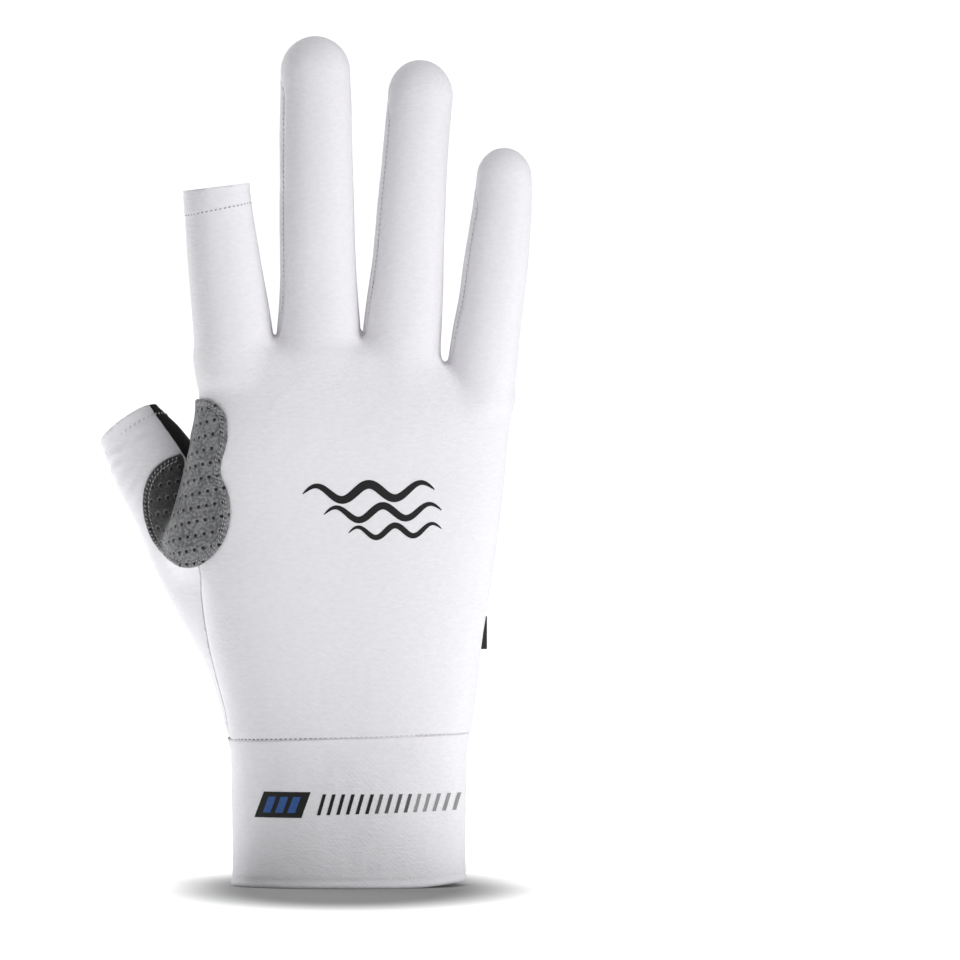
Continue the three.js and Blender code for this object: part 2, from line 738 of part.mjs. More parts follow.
// The channel in the plate: a bow with two straight ends, one width all along.
function clipChannel() {
  const width = CLIP_PLATE_WIDTH * 0.08;
  const side = CLIP_PLATE_WIDTH * 0.36;
  const bow = CLIP_LENGTH * 0.47;
  const knee = CLIP_LENGTH * 0.56;
  const end = CLIP_LENGTH * 0.8;
  const steps = 6;
  const line = (offset) => {
    const points = [corner(end, -side - offset)];
    for (let step = 0; step <= steps; step += 1) {
      const share = (step / steps) * 2 - 1;
      points.push(corner(bow + (knee - bow) * share ** 2 - offset, share * (side + offset)));
    }
    points.push(corner(end, side + offset));
    return points;
  };
  const channel = new THREE.Path();
  channel.setFromPoints([...line(0), ...line(width).reverse()]);
  channel.closePath();
  return channel;
}

// The webbing is a flattened loop through the clip's slot and round its bar.
function webbingGeometry() {
  const inner = CLIP_THICKNESS / 2 + CLEARANCE;
  const outside = inner + WEBBING_THICKNESS;
  const barMiddle = CLIP_BAR / 2;
  const turn = CLIP_BAR / 2 + CLEARANCE;
  const root = -WEBBING_LENGTH;
  const steps = 8;
  const arc = (reachOut, reachUp) => {
    const points = [];
    for (let step = 0; step <= steps; step += 1) {
      const angle = (step / steps - 0.5) * Math.PI;
      const c = Math.abs(Math.cos(angle)) ** (2 / WEBBING_FULLNESS);
      const s = Math.sign(Math.sin(angle)) * Math.abs(Math.sin(angle)) ** (2 / WEBBING_FULLNESS);
      points.push(corner(barMiddle + reachOut * c, reachUp * s));
    }
    return points;
  };
  const shape = new THREE.Shape([
    corner(root, -WEBBING_THICKNESS),
    corner(-turn - WEBBING_THICKNESS, -outside),
    ...arc(turn + WEBBING_THICKNESS, outside),
    corner(-turn - WEBBING_THICKNESS, outside),
    corner(root, WEBBING_THICKNESS),
  ]);
  const hole = [
    corner(barMiddle - turn, -inner),
    ...arc(turn, inner),
    corner(barMiddle - turn, inner),
    corner(barMiddle - turn - WEBBING_THICKNESS, 0),
  ];
  shape.holes.push(new THREE.Path(hole.reverse()));
  const geometry = new THREE.ExtrudeGeometry(shape, { depth: WEBBING_WIDTH, bevelEnabled: false });
  geometry.translate(0, 0, -WEBBING_WIDTH / 2);
  geometry.rotateX(-Math.PI / 2);
  return geometry;
}

// Where the webbing leaves the side seam, and the way that it points round to the palm.
function clipPlace() {
  const up = CLIP_UP / PALM_HEIGHT;
  const { left, right, halfThick } = handEdges(up);
  const halfWide = (right - left) / 2;
  const middle = (right + left) / 2;
  const fore = PALM_SEAM + WEBBING_INSET;
  const share = (fore / halfThick) ** HAND_FULLNESS;
  const x = middle + halfWide * (1 - share) ** (1 / HAND_FULLNESS);
  const lean = -((share / fore) * halfWide ** HAND_FULLNESS) / (x - middle) ** (HAND_FULLNESS - 1);
  const away = new THREE.Vector3(lean, 1, 0).normalize();
  away.applyAxisAngle(new THREE.Vector3(0, 0, 1), CLIP_TURN * RADIANS);
  const upwards = new THREE.Vector3(0, 0, 1);
  const outwards = away.clone().cross(upwards);
  return new THREE.Matrix4()
    .makeBasis(away, upwards, outwards)
    .setPosition(new THREE.Vector3(x, fore, CUFF_HEIGHT + CLIP_UP));
}

function clipPieces() {
  const place = clipPlace();
  const lift = WEBBING_THICKNESS + CLEARANCE + CLIP_THICKNESS / 2;
  const clip = clipGeometry();
  clip.translate(WEBBING_LENGTH, 0, lift - CLIP_THICKNESS / 2);
  clip.applyMatrix4(place);
  const webbing = webbingGeometry();
  webbing.translate(WEBBING_LENGTH, 0, lift);
  webbing.applyMatrix4(place);
  const seated = solidOf(webbing).subtract(handForm(CLEARANCE, ALL_FINGERS));
  return [
    pieceOf('webbing_loop', seated, BLACK_WEBBING),
    pieceOf('clip', solidOf(clip), BLACK_PLASTIC),
  ];
}

// The assembly

const glove = new THREE.Group();

const cuff = cuffSolid(0).subtract(cuffSolid(-CUFF_WALL));
glove.add(pieceOf('cuff', cuff, WHITE_KNIT));

const handCloth = shell.subtract(thumbCutter(HALF_GAP));
const palmSide = (grow) => layerBetween(PALM_SEAM - grow, FAR);
let back = handCloth.subtract(palmSide(HALF_GAP));
for (const [name, first, second] of GUSSETS) {
  back = back.subtract(gussetCutter(first, second, HALF_GAP));
  glove.add(pieceOf(name, handCloth.intersect(gussetCutter(first, second, -HALF_GAP)), WHITE_KNIT));
}
glove.add(pieceOf('back_panel', back, WHITE_KNIT));
glove.add(pieceOf('palm_panel', handCloth.intersect(palmSide(-HALF_GAP)), GREY_GRIP));

const thumbCloth = shell.intersect(thumbCutter(-HALF_GAP));
const thumbSides = thumbCloth.subtract(thumbStripCutter(HALF_GAP));
glove.add(pieceOf('thumb_back', thumbSides.subtract(thumbGripCutter(HALF_GAP)), WHITE_KNIT));
glove.add(pieceOf('thumb_palm', thumbSides.intersect(thumbGripCutter(-HALF_GAP)), GREY_GRIP));
glove.add(pieceOf('thumb_strip', thumbCloth.intersect(thumbStripCutter(-HALF_GAP)), BLACK_STRIP));
glove.add(pieceOf('web_patch', patchSolid(), GREY_GRIP));

for (const piece of clipPieces()) glove.add(piece);

export default glove;
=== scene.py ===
# %% [markdown]
# # A thin sun and fishing glove
#
# The real thing is cut from a thin white stretch knit and a grey suede-like grip cloth, sewn into a tube
# for the hand, five short tubes for the fingers and a separate cuff. The index finger and the thumb are cut
# open below the tip. A soft skin of this kind has no flat parts, so it is worked out here as one smooth
# closed form, then cut along its seams into the panels that a sewing room would join.
#
# The CAD frame is loaded first. Each cloth piece below takes the place of one CAD node.

# %% The frame
import math

import bmesh
import bpy
import numpy as np
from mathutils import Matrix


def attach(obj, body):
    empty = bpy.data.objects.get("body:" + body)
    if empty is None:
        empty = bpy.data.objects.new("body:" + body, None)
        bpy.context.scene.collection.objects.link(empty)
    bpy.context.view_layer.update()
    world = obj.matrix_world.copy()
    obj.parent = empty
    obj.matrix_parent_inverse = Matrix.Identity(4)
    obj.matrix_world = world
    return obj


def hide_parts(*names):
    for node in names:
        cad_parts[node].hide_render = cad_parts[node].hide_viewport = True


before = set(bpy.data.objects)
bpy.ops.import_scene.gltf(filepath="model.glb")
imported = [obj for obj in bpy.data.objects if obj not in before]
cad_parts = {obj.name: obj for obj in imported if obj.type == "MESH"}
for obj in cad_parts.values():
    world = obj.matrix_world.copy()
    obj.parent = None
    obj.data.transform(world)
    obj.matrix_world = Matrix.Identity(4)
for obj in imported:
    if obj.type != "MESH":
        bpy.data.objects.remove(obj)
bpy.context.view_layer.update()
MM = 0.001

# %% [markdown]
# ## The camera
#
# The photograph looks straight at the back of the glove from far away, with the glove left of the middle.
# A very long lens 5 m off and a little above gives that view with hardly any perspective.
# One pixel of the 960 is 0.286 mm at the glove.

# %% The camera
PIXEL = 0.286
VIEW_WIDTH = 960 * PIXEL
VIEW_MIDDLE_X, VIEW_MIDDLE_Z = 37.5, 116.0
DISTANCE = 5000.0
TILT = math.radians(1.5)
SENSOR = 36.0


def new_object(name, data):
    """An object in the scene that holds the data."""
    thing = bpy.data.objects.new(name, data)
    bpy.context.scene.collection.objects.link(thing)
    return thing


camera_data = bpy.data.cameras.new("camera")
camera_data.sensor_width = SENSOR
camera_data.lens = SENSOR * DISTANCE / VIEW_WIDTH
camera_data.clip_end = 20.0
camera = new_object("camera", camera_data)
camera.location = (VIEW_MIDDLE_X * MM, -DISTANCE * math.cos(TILT) * MM,
                   (VIEW_MIDDLE_Z + DISTANCE * math.sin(TILT)) * MM)
camera.rotation_euler = (math.radians(90.0) - TILT, 0.0, 0.0)
bpy.context.scene.camera = camera
print(f"lens {camera_data.lens:.1f} mm for a view {VIEW_WIDTH:.1f} mm wide")

# %% [markdown]
# ## Sizes
#
# All lengths are in millimetres until a mesh is made. The tables are those of the CAD model: each row is
# one section, and its numbers are shares of the named sizes.

# %% Sizes of the hand and cuff
CUFF_HEIGHT = 43.0
CUFF_WIDTH = 67.2
CUFF_DEPTH = 45.0
WRIST_WIDTH = 69.6
WRIST_DEPTH = 45.0
PALM_HEIGHT = 114.0
PALM_WIDTH = 90.0
PALM_DEPTH = 32.0
KNUCKLES = CUFF_HEIGHT + PALM_HEIGHT
LITTLE_DROP = 8.3
FINGER_CURL = 5.0
PALM_SEAM = 4.0
CLOTH = 1.0

# up, left, right, thick, fall
HAND_ROWS = np.array([
    [0.00, 0.00, 0.01, 0.00, 0.0],
    [0.08, 0.15, 0.13, 0.10, 0.0],
    [0.20, 0.45, 0.27, 0.24, 0.0],
    [0.34, 0.71, 0.50, 0.42, 0.0],
    [0.50, 0.90, 0.76, 0.70, 0.0],
    [0.66, 1.00, 0.95, 0.93, 0.0],
    [0.80, 0.92, 1.10, 1.12, 0.2],
    [0.91, 0.84, 1.24, 1.52, 0.7],
    [0.96, 0.80, 1.20, 1.78, 1.0],
    [1.00, 0.50, 0.95, 2.15, 1.0],
])

# %% Sizes of the fingers
# Rows of a finger: along, aside, wide, thick.
FINGERS = {
    "index": dict(length=42.0, width=21.0, root=-0.367, tip=0.0, rows=np.array([
        [-0.32, 0.004, 1.04, 1.32],
        [0.00, 0.000, 1.08, 1.13],
        [0.25, -0.013, 1.05, 1.03],
        [0.52, -0.029, 0.99, 0.96],
        [1.00, -0.054, 0.89, 0.88],
    ])),
    "middle": dict(length=86.0, width=21.3, root=-0.096, tip=0.98, rows=np.array([
        [-0.16, 0.000, 1.10, 1.32],
        [0.00, 0.000, 1.12, 1.13],
        [0.12, 0.000, 1.06, 1.04],
        [0.45, -0.005, 1.00, 0.98],
        [0.88, -0.011, 0.95, 0.92],
    ])),
    "ring": dict(length=79.0, width=19.4, root=0.170, tip=1.05, rows=np.array([
        [-0.17, -0.002, 1.14, 1.40],
        [0.00, 0.000, 1.16, 1.20],
        [0.13, 0.008, 1.12, 1.08],
        [0.28, 0.017, 1.05, 1.01],
        [0.50, 0.030, 1.00, 0.98],
        [0.87, 0.056, 0.95, 0.94],
    ])),
    "little": dict(length=54.0, width=18.5, root=0.433, tip=0.95, rows=np.array([
        [-0.40, -0.022, 1.06, 1.42],
        [-0.15, -0.010, 1.07, 1.22],
        [0.05, 0.005, 1.05, 1.08],
        [0.20, 0.020, 1.01, 1.02],
        [0.41, 0.036, 1.00, 0.98],
        [0.73, 0.056, 0.90, 0.90],
        [0.86, 0.061, 0.84, 0.84],
    ])),
}

# %% Sizes of the thumb
THUMB_ROOT = np.array([-24.0, 6.0, 52.0])
THUMB_RIM = np.array([-63.0, 23.0, 131.5])
THUMB_WIDTH = 26.0
THUMB_DEPTH = 25.0
# out, up, fore, wide, thick, tilt in degrees, edge
THUMB_ROWS = np.array([
    [-0.03, -0.10, 0.00, 0.86, 1.05, 0.0, 0.10],
    [0.00, 0.00, 0.00, 0.92, 1.15, 10.0, 0.15],
    [0.09, 0.175, 0.25, 1.00, 1.20, 20.0, 0.28],
    [0.20, 0.316, 0.45, 1.15, 1.20, 27.0, 0.36],
    [0.42, 0.520, 0.72, 1.18, 1.12, 27.0, 0.42],
    [0.625, 0.718, 0.90, 1.08, 1.02, 28.0, 0.55],
    [0.815, 0.862, 0.98, 0.985, 0.90, 31.0, 0.58],
    [1.00, 0.993, 1.00, 0.74, 0.76, 35.0, 0.55],
])

# %% [markdown]
# ## The form as a field
#
# The form is held as a field: a number for each point of space, negative inside the glove, and about the
# distance from the surface in millimetres. A section is a super-ellipse, a tube is a section that changes
# along its length, and tubes are joined by a minimum that is rounded off where both are near. Stretched
# cloth rounds its inner corners in the same way.

# %% A table followed smoothly
def follow(at, stops, values):
    """Value of a table at any place, on a cubic through its rows.

    Each row has the slope of the two straight lines beside it, weighted by how near they are.
    Outside the table the first or last value holds."""
    stops = np.asarray(stops, float)
    values = np.asarray(values, float)
    steps = np.diff(stops)
    chords = np.diff(values) / steps
    slopes = np.empty_like(values)
    slopes[1:-1] = (chords[:-1] * steps[1:] + chords[1:] * steps[:-1]) / (steps[1:] + steps[:-1])
    slopes[0] = chords[0]
    slopes[-1] = chords[-1]
    at = np.clip(at, stops[0], stops[-1])
    row = np.clip(np.searchsorted(stops, at) - 1, 0, len(steps) - 1)
    wide = steps[row]
    t = (at - stops[row]) / wide
    start = (2 * t**3 - 3 * t**2 + 1) * values[row] + (t**3 - 2 * t**2 + t) * wide * slopes[row]
    end = (3 * t**2 - 2 * t**3) * values[row + 1] + (t**3 - t**2) * wide * slopes[row + 1]
    return start + end


def fade(value, low, high):
    """A smooth step from 0 at low to 1 at high, which may lie on either side of each other."""
    t = np.clip((value - low) / (high - low), 0.0, 1.0)
    return t * t * (3.0 - 2.0 * t)


def bell(distance, wide):
    """1 at distance 0, fading over the width on both sides."""
    return np.exp(-((distance / wide) ** 2))


def unit(rows):
    """Rows scaled to length 1."""
    return rows / np.linalg.norm(rows, axis=-1)[..., None]


def running_length(points):
    """Length along a line of points, up to each of them."""
    return np.concatenate([[0.0], np.cumsum(np.linalg.norm(np.diff(points, axis=0), axis=1))])


def join(a, b, reach):
    """Union of two fields, with the inner corner rounded over about reach millimetres."""
    near = np.maximum(reach - np.abs(a - b), 0.0) / reach
    return np.minimum(a, b) - near * near * reach / 4.0


def cut(a, b, reach):
    """What lies in both fields, with the outer corner rounded."""
    return -join(-a, -b, reach)


# %% One section with a rounded end
def oval(dx, dy, half_wide, half_thick, fullness, over=0.0, rise=1.0):
    """Distance from a super-ellipse tube, negative inside.

    g is the size of the super-ellipse through the point: (|dx/a|^n + |dy/b|^n)^(1/n). In the rounded end
    over / rise joins it as a third direction. The distance is g - 1 divided by the length of g's slope."""
    u = np.abs(dx) / half_wide
    v = np.abs(dy) / half_thick
    total = np.maximum(u**fullness + v**fullness, 1e-4)
    size = total ** (1.0 / fullness)
    slope = total ** (1.0 / fullness - 1.0) * np.hypot(
        u ** (fullness - 1.0) / half_wide, v ** (fullness - 1.0) / half_thick)
    w = np.maximum(over, 0.0) / rise
    whole = np.sqrt(size * size + w * w)
    steep = np.hypot(size * slope, w / rise) / whole
    return (whole - 1.0) / np.maximum(steep, 0.5 / np.maximum(half_wide, half_thick))


# %% The hand
RING_ROOT = FINGERS["ring"]["root"] * PALM_WIDTH
LITTLE_ROOT = FINGERS["little"]["root"] * PALM_WIDTH
HAND_FULLNESS = 2.5
FINGER_FULLNESS = 2.15


def crotch_fall(x):
    """How much lower the hand ends towards the little finger."""
    return -LITTLE_DROP * np.clip((x - RING_ROOT) / ((LITTLE_ROOT - RING_ROOT) / 2.0), 0.0, 1.4)


def bend(z):
    """The fingers bend towards the palm with the square of the height above the knuckles."""
    return FINGER_CURL * (np.maximum(z - KNUCKLES, 0.0) / 86.0) ** 2


def hand_field(x, y, z):
    """The hand: an oval tube whose sections fall towards the little finger near the top."""
    rise, to_left, to_right, to_thick, share = HAND_ROWS.T
    fall = crotch_fall(x)
    up = (z - CUFF_HEIGHT) / PALM_HEIGHT
    for _ in range(2):
        up = (z - CUFF_HEIGHT - follow(up, rise, share) * fall) / PALM_HEIGHT
    narrow, more = WRIST_WIDTH / 2.0, (PALM_WIDTH - WRIST_WIDTH) / 2.0
    left = 1.2 * bell(z - 134.0, 11.0) - (narrow + more * follow(up, rise, to_left))
    right = narrow + more * follow(up, rise, to_right)
    thick = (WRIST_DEPTH + (PALM_DEPTH - WRIST_DEPTH) * follow(up, rise, to_thick)) / 2.0
    side = oval(x - (left + right) / 2.0, y, (right - left) / 2.0, thick, HAND_FULLNESS)
    web = 1.7 * bell(x - 27.0, 6.0)
    return cut(side, z - (KNUCKLES - 1.5 + fall + web), 5.0)


# The fold of cloth between thumb and index finger: a rounded bar from the web down to the thumb's ball.
RIDGE_TOP = np.array([-32.4, 0.0, 131.0])
RIDGE_FOOT = np.array([-41.6, 2.5, 98.0])
RIDGE_RADIUS = 10.0


def ridge_field(x, y, z):
    """Distance from the nearest point of the bar's middle line, less its radius."""
    way = RIDGE_FOOT - RIDGE_TOP
    dx, dy, dz = x - RIDGE_TOP[0], y - RIDGE_TOP[1], z - RIDGE_TOP[2]
    t = np.clip((dx * way[0] + dy * way[1] + dz * way[2]) / (way @ way), 0.0, 1.0)
    return np.sqrt((dx - t * way[0]) ** 2 + (dy - t * way[1]) ** 2 + (dz - t * way[2]) ** 2) - RIDGE_RADIUS


OUTER_SIDE = {"index": -1.0, "little": 1.0}


def finger_field(name, x, y, z):
    """One finger: an oval tube on its own bent line, with a domed end where it is closed. Below its root it
    gets thinner, and a little narrower on the side that is the glove's outer edge."""
    finger = FINGERS[name]
    stops, aside, to_wide, to_thick = finger["rows"].T
    along = (z - KNUCKLES) / finger["length"]
    shoulder = 1.0 - finger["tip"] * finger["width"] / 2.0 / finger["length"]
    at = np.minimum(along, shoulder)
    middle = (finger["root"] + follow(at, stops, aside)) * PALM_WIDTH
    outer = (x - middle) * OUTER_SIDE.get(name, 0.0) > 0.0
    wide = follow(at, stops, to_wide) * finger["width"] / 2.0
    wide = wide * np.where(outer, 1.0 - 0.07 * fade(at, 0.45 * stops[0], stops[0]), 1.0)
    thick = follow(at, stops, to_thick) * finger["width"] * 0.45 * (1.0 - 0.13 * fade(at, 0.0, stops[0]))
    rise = max((1.0 - shoulder) * finger["length"], 1.0)
    over = (along - shoulder) * finger["length"] if finger["tip"] else np.zeros_like(along)
    tube = oval(x - middle, y - bend(z), wide, thick, FINGER_FULLNESS, over, rise)
    return cut(tube, KNUCKLES + stops[0] * finger["length"] - z, 4.0)


# %% The thumb
THUMB_TURNS = np.linspace(0.0, len(THUMB_ROWS) - 1.0, 240)
THUMB_STOPS = np.arange(len(THUMB_ROWS))


def thumb_line(turns):
    """Places, half sizes, lean and seam share of the thumb's sections, read between its rows."""
    out, up, fore, wide, thick, tilt, edge = (
        follow(turns, THUMB_STOPS, THUMB_ROWS[:, column]) for column in range(7))
    way = THUMB_RIM - THUMB_ROOT
    places = THUMB_ROOT + np.stack([out * way[0], fore * way[1], up * way[2]], axis=-1)
    return places, wide * THUMB_WIDTH / 2.0, thick * THUMB_DEPTH / 2.0, np.radians(tilt), edge


THUMB_PLACES, THUMB_HALF_WIDE, THUMB_HALF_THICK, THUMB_TILT, THUMB_EDGE = thumb_line(THUMB_TURNS)


THUMB_LENGTHS = running_length(THUMB_PLACES[:, [0, 2]])


def thumb_at(at, *tables):
    """Values of the thumb's tables at a length along it."""
    return [np.interp(at, THUMB_LENGTHS, table) for table in tables]


def thumb_station(x, z):
    """How far along the thumb a point lies, and how far above the section there.

    A point starts at the section of its own height and moves along the axis by how far it lies above
    that section's plane, six times."""
    at = np.interp(z, THUMB_PLACES[:, 2], THUMB_LENGTHS)
    for _ in range(6):
        px, pz, tilt = thumb_at(at, THUMB_PLACES[:, 0], THUMB_PLACES[:, 2], THUMB_TILT)
        above = -(x - px) * np.sin(tilt) + (z - pz) * np.cos(tilt)
        at = np.clip(at + 0.8 * above, 0.0, THUMB_LENGTHS[-1])
    return at, above


def thumb_across(x, z, at, line):
    """How far a point lies across the thumb from a line along it."""
    px, pz, tilt = thumb_at(at, line[:, 0], line[:, 2], THUMB_TILT)
    return (x - px) * np.cos(tilt) + (z - pz) * np.sin(tilt)


def thumb_field(x, y, z):
    """The thumb: oval sections that lean away from the hand and move towards the palm."""
    at, above = thumb_station(x, z)
    py, wide, thick = thumb_at(at, THUMB_PLACES[:, 1], THUMB_HALF_WIDE, THUMB_HALF_THICK)
    tube = oval(thumb_across(x, z, at, THUMB_PLACES), y - py, wide, thick, FINGER_FULLNESS)
    return cut(tube, np.where(at <= 0.0, -above, -5.0), 3.0)


# %% The whole form
def assemble(x, z, hand, ridge, thumb, index, *others):
    """Joins the fields of all parts. The web of the thumb is sharp at its notch, the ball of the thumb below
    it runs softly into the palm, and at the wrist nothing bulges out."""
    fingers = index
    for finger in others:
        fingers = join(fingers, finger, 1.2)
    whole = join(hand, fingers, 3.5 - 2.1 * fade(z, 150.0, 144.0) * fade(x, 39.0, 45.0))
    whole = join(whole, ridge, 2.5)
    soft = 2.0 + 7.0 * fade(z, 118.0, 92.0) * fade(z, 42.0, 74.0)
    return join(whole, thumb, soft)


# Each part, in the order that assemble takes them, with the box outside which it doesn't reach.
PART_BOXES = {
    "hand": ((-54, 60), (-30, 30), (30, 168)),
    "ridge": ((-60, -14), (-20, 22), (78, 150)),
    "thumb": ((-82, 0), (-18, 42), (38, 152)),
    "index": ((-52, -12), (-22, 26), (138, 212)),
    "middle": ((-28, 12), (-22, 30), (138, 250)),
    "ring": ((-4, 40), (-22, 30), (138, 245)),
    "little": ((20, 60), (-22, 28), (128, 220)),
}


def part_field(name, *place):
    """Field of one part."""
    if name in FINGERS:
        return finger_field(name, *place)
    return {"hand": hand_field, "ridge": ridge_field, "thumb": thumb_field}[name](*place)


def glove_field(x, y, z):
    """The hand, its fingers and the thumb in one field."""
    return assemble(x, z, *(part_field(name, x, y, z) for name in PART_BOXES))


# %% [markdown]
# ## From the field to a mesh
#
# The field is sampled on a grid of 1 mm. Every grid cell that the surface crosses gets one point, and every
# grid edge that it crosses gets one four-sided face between the four cells around it. The points are then
# evened out and set exactly onto the surface, so the mesh is regular and has no steps.

# %% Surface from a grid
def grid_of(low, high, step):
    """Coordinates of a box of grid points, as three arrays."""
    axes = [np.arange(low[axis], high[axis] + step / 2.0, step) for axis in range(3)]
    return np.meshgrid(*axes, indexing="ij")


def surface_net(values, low, step):
    """Points and faces of the surface where a sampled field is zero.

    A cell's point is the mean of the crossings on its edges. A face goes round each crossed grid edge,
    turned so that it faces away from the negative side."""
    inside = values < 0.0
    cells = np.array(values.shape) - 1
    count = np.zeros(cells.prod())
    sums = np.zeros((3, cells.prod()))
    faces = []
    for axis in range(3):
        one, two = (axis + 1) % 3, (axis + 2) % 3
        edge = np.argwhere(np.diff(inside, axis=axis))
        first, second = edge[:, one], edge[:, two]
        edge = edge[(first > 0) & (first < cells[one]) & (second > 0) & (second < cells[two])]
        ahead = edge.copy()
        ahead[:, axis] += 1
        start = values[tuple(edge.T)]
        end = values[tuple(ahead.T)]
        place = edge.astype(float)
        place[:, axis] += start / (start - end)
        corners = []
        for back_one, back_two in ((1, 1), (0, 1), (0, 0), (1, 0)):
            cell = edge.copy()
            cell[:, one] -= back_one
            cell[:, two] -= back_two
            name = np.ravel_multi_index(tuple(cell.T), tuple(cells))
            corners.append(name)
            count += np.bincount(name, minlength=len(count))
            for side in range(3):
                sums[side] += np.bincount(name, weights=place[:, side], minlength=len(count))
        face = np.stack(corners, axis=1)
        faces.append(np.where((start < 0.0)[:, None], face, face[:, ::-1]))
    used = np.flatnonzero(count)
    number = np.full(len(count), -1)
    number[used] = np.arange(len(used))
    points = (sums[:, used] / count[used]).T * step + np.asarray(low, float)
    return points, number[np.concatenate(faces)]


# %% Setting points onto the surface
def slope_of(field, points, step=0.05):
    """Field and its slope at points, from four samples at the corners of a small tetrahedron."""
    corners = np.array([[1, -1, -1], [-1, -1, 1], [-1, 1, -1], [1, 1, 1]], float)
    total = np.zeros(len(points))
    slope = np.zeros_like(points)
    for corner in corners:
        value = field(*(points + corner * step).T)
        total += value / 4.0
        slope += corner * value[:, None] / (4.0 * step)
    return total, slope


def settle(field, points, rounds=2):
    """Moves points along the slope until the field is zero there. Gives their outward directions too."""
    for _ in range(rounds):
        value, slope = slope_of(field, points)
        steep = np.maximum((slope**2).sum(axis=1), 0.05)
        move = slope * (value / steep)[:, None]
        far = np.maximum(np.linalg.norm(move, axis=1) / 1.5, 1.0)
        points = points - move / far[:, None]
    _, slope = slope_of(field, points)
    return points, unit(slope)


def even_out(points, faces, share=0.5):
    """Moves every point part of the way to the mean of its neighbours."""
    ends = np.concatenate([faces[:, [0, 1]], faces[:, [1, 2]], faces[:, [2, 3]], faces[:, [3, 0]]])
    first = np.concatenate([ends[:, 0], ends[:, 1]])
    second = np.concatenate([ends[:, 1], ends[:, 0]])
    total = np.stack([np.bincount(first, points[second, axis], len(points)) for axis in range(3)], axis=1)
    mean = total / np.bincount(first, minlength=len(points))[:, None]
    return points + share * (mean - points)


# %% The skin of the glove
SKIN_LOW = (-80.0, -28.0, 38.0)
SKIN_HIGH = (58.0, 40.0, 250.0)
SKIN_STEP = 1.0


FAR = 30.0


def field_on_grid(low, high, step):
    """The form's field on a grid. Each part is worked out only in its own box."""
    grid = grid_of(low, high, step)
    parts = []
    for name, spans in PART_BOXES.items():
        spot = tuple(
            slice(*np.searchsorted(low[axis] + step * np.arange(grid[0].shape[axis]), spans[axis]))
            for axis in range(3))
        parts.append(np.full(grid[0].shape, FAR))
        parts[-1][spot] = part_field(name, *(line[spot] for line in grid))
    return assemble(grid[0], grid[2], *parts)


values = field_on_grid(SKIN_LOW, SKIN_HIGH, SKIN_STEP)
skin_points, skin_faces = surface_net(values, SKIN_LOW, SKIN_STEP)
for _ in range(3):
    skin_points = even_out(skin_points, skin_faces)
    skin_points, skin_normals = settle(glove_field, skin_points, 1)
skin_points, skin_normals = settle(glove_field, skin_points, 2)
print(f"skin: {len(skin_points)} points, {len(skin_faces)} faces")

# %% [markdown]
# ## Seams
#
# Every seam is where a number changes sign over the skin: how far a point lies in front of the palm seam,
# inside the thumb's outline, and so on. The numbers are in millimetres and tell about how far a point is
# from the seam, which presses the cloth in beside its stitches. The thumb's outlines are measured on the
# flat view, so at its seam the number grows too slowly where the cloth turns away from that view.

# %% Outlines on the flat view
def smooth_outline(points, count, closed):
    """Evenly spaced points on a smooth line through a few, by the length along them."""
    points = np.asarray(points, float)
    if closed:
        points = np.concatenate([points[-3:], points, points[:3]])
    lengths = running_length(points)
    ends = (lengths[3], lengths[-3]) if closed else (0.0, lengths[-1])
    at = np.linspace(*ends, count + 1)
    if closed:
        at = at[:-1]
    return np.stack([follow(at, lengths, points[:, axis]) for axis in range(2)], axis=1)


def inside_outline(x, z, outline):
    """Distance from a closed outline on the flat view, positive inside it."""
    nearest = np.full(x.shape, np.inf)
    within = np.zeros(x.shape, bool)
    for (ax, az), (bx, bz) in zip(outline, np.roll(outline, -1, axis=0)):
        wx, wz = bx - ax, bz - az
        t = np.clip(((x - ax) * wx + (z - az) * wz) / (wx * wx + wz * wz + 1e-12), 0.0, 1.0)
        nearest = np.minimum(nearest, np.hypot(x - ax - t * wx, z - az - t * wz))
        crosses = (az > z) != (bz > z)
        edge = ax + (z - az) * wx / (wz if wz else 1e-12)
        within ^= crosses & (x < edge)
    return np.where(within, nearest, -nearest)


# %% Seams of the thumb
WEB = np.array([-44.8, 127.1])
THUMB_SEAM_PALM = [
    (-45.0, 127.6), (-41.4, 127.1), (-37.4, 123.8), (-31.0, 118.4), (-25.5, 111.9), (-20.0, 104.6),
    (-13.7, 90.2), (-10.0, 72.1), (-7.6, 58.5), (-6.0, 37.3),
]
THUMB_SEAM_BACK = [
    (-45.0, 127.6), (-46.3, 115.8), (-46.0, 104.0), (-43.2, 91.5), (-42.7, 81.8), (-41.2, 71.9),
    (-38.5, 59.6), (-36.0, 49.8), (-34.2, 37.3),
]


def thumb_region(seam):
    """Closed outline of the thumb's side of a seam."""
    line = smooth_outline(seam, 40, False)
    away = [(-130.0, line[-1, 1]), (-130.0, 271.0), (WEB[0] - 3.5, WEB[1] + 5.0)]
    return np.concatenate([line, away])


def thumb_seam(x, y, z):
    """Positive on the thumb's cloth. The back outline counts behind the palm seam's depth, the palm outline
    before it, and where only one of them holds, the seam runs along that depth."""
    back = inside_outline(x, z, thumb_region(THUMB_SEAM_BACK))
    palm = inside_outline(x, z, thumb_region(THUMB_SEAM_PALM))
    depth = y - PALM_SEAM
    behind = np.maximum(back, np.minimum(palm, depth))
    before = np.maximum(palm, np.minimum(back, -depth))
    return np.where(depth < 0.0, behind, before)


EDGE_SHARE = (THUMB_EDGE * THUMB_HALF_WIDE)[:, None]
THUMB_EDGE_LINE = THUMB_PLACES - EDGE_SHARE * np.stack(
    [np.cos(THUMB_TILT), np.zeros_like(THUMB_TILT), np.sin(THUMB_TILT)], axis=1)


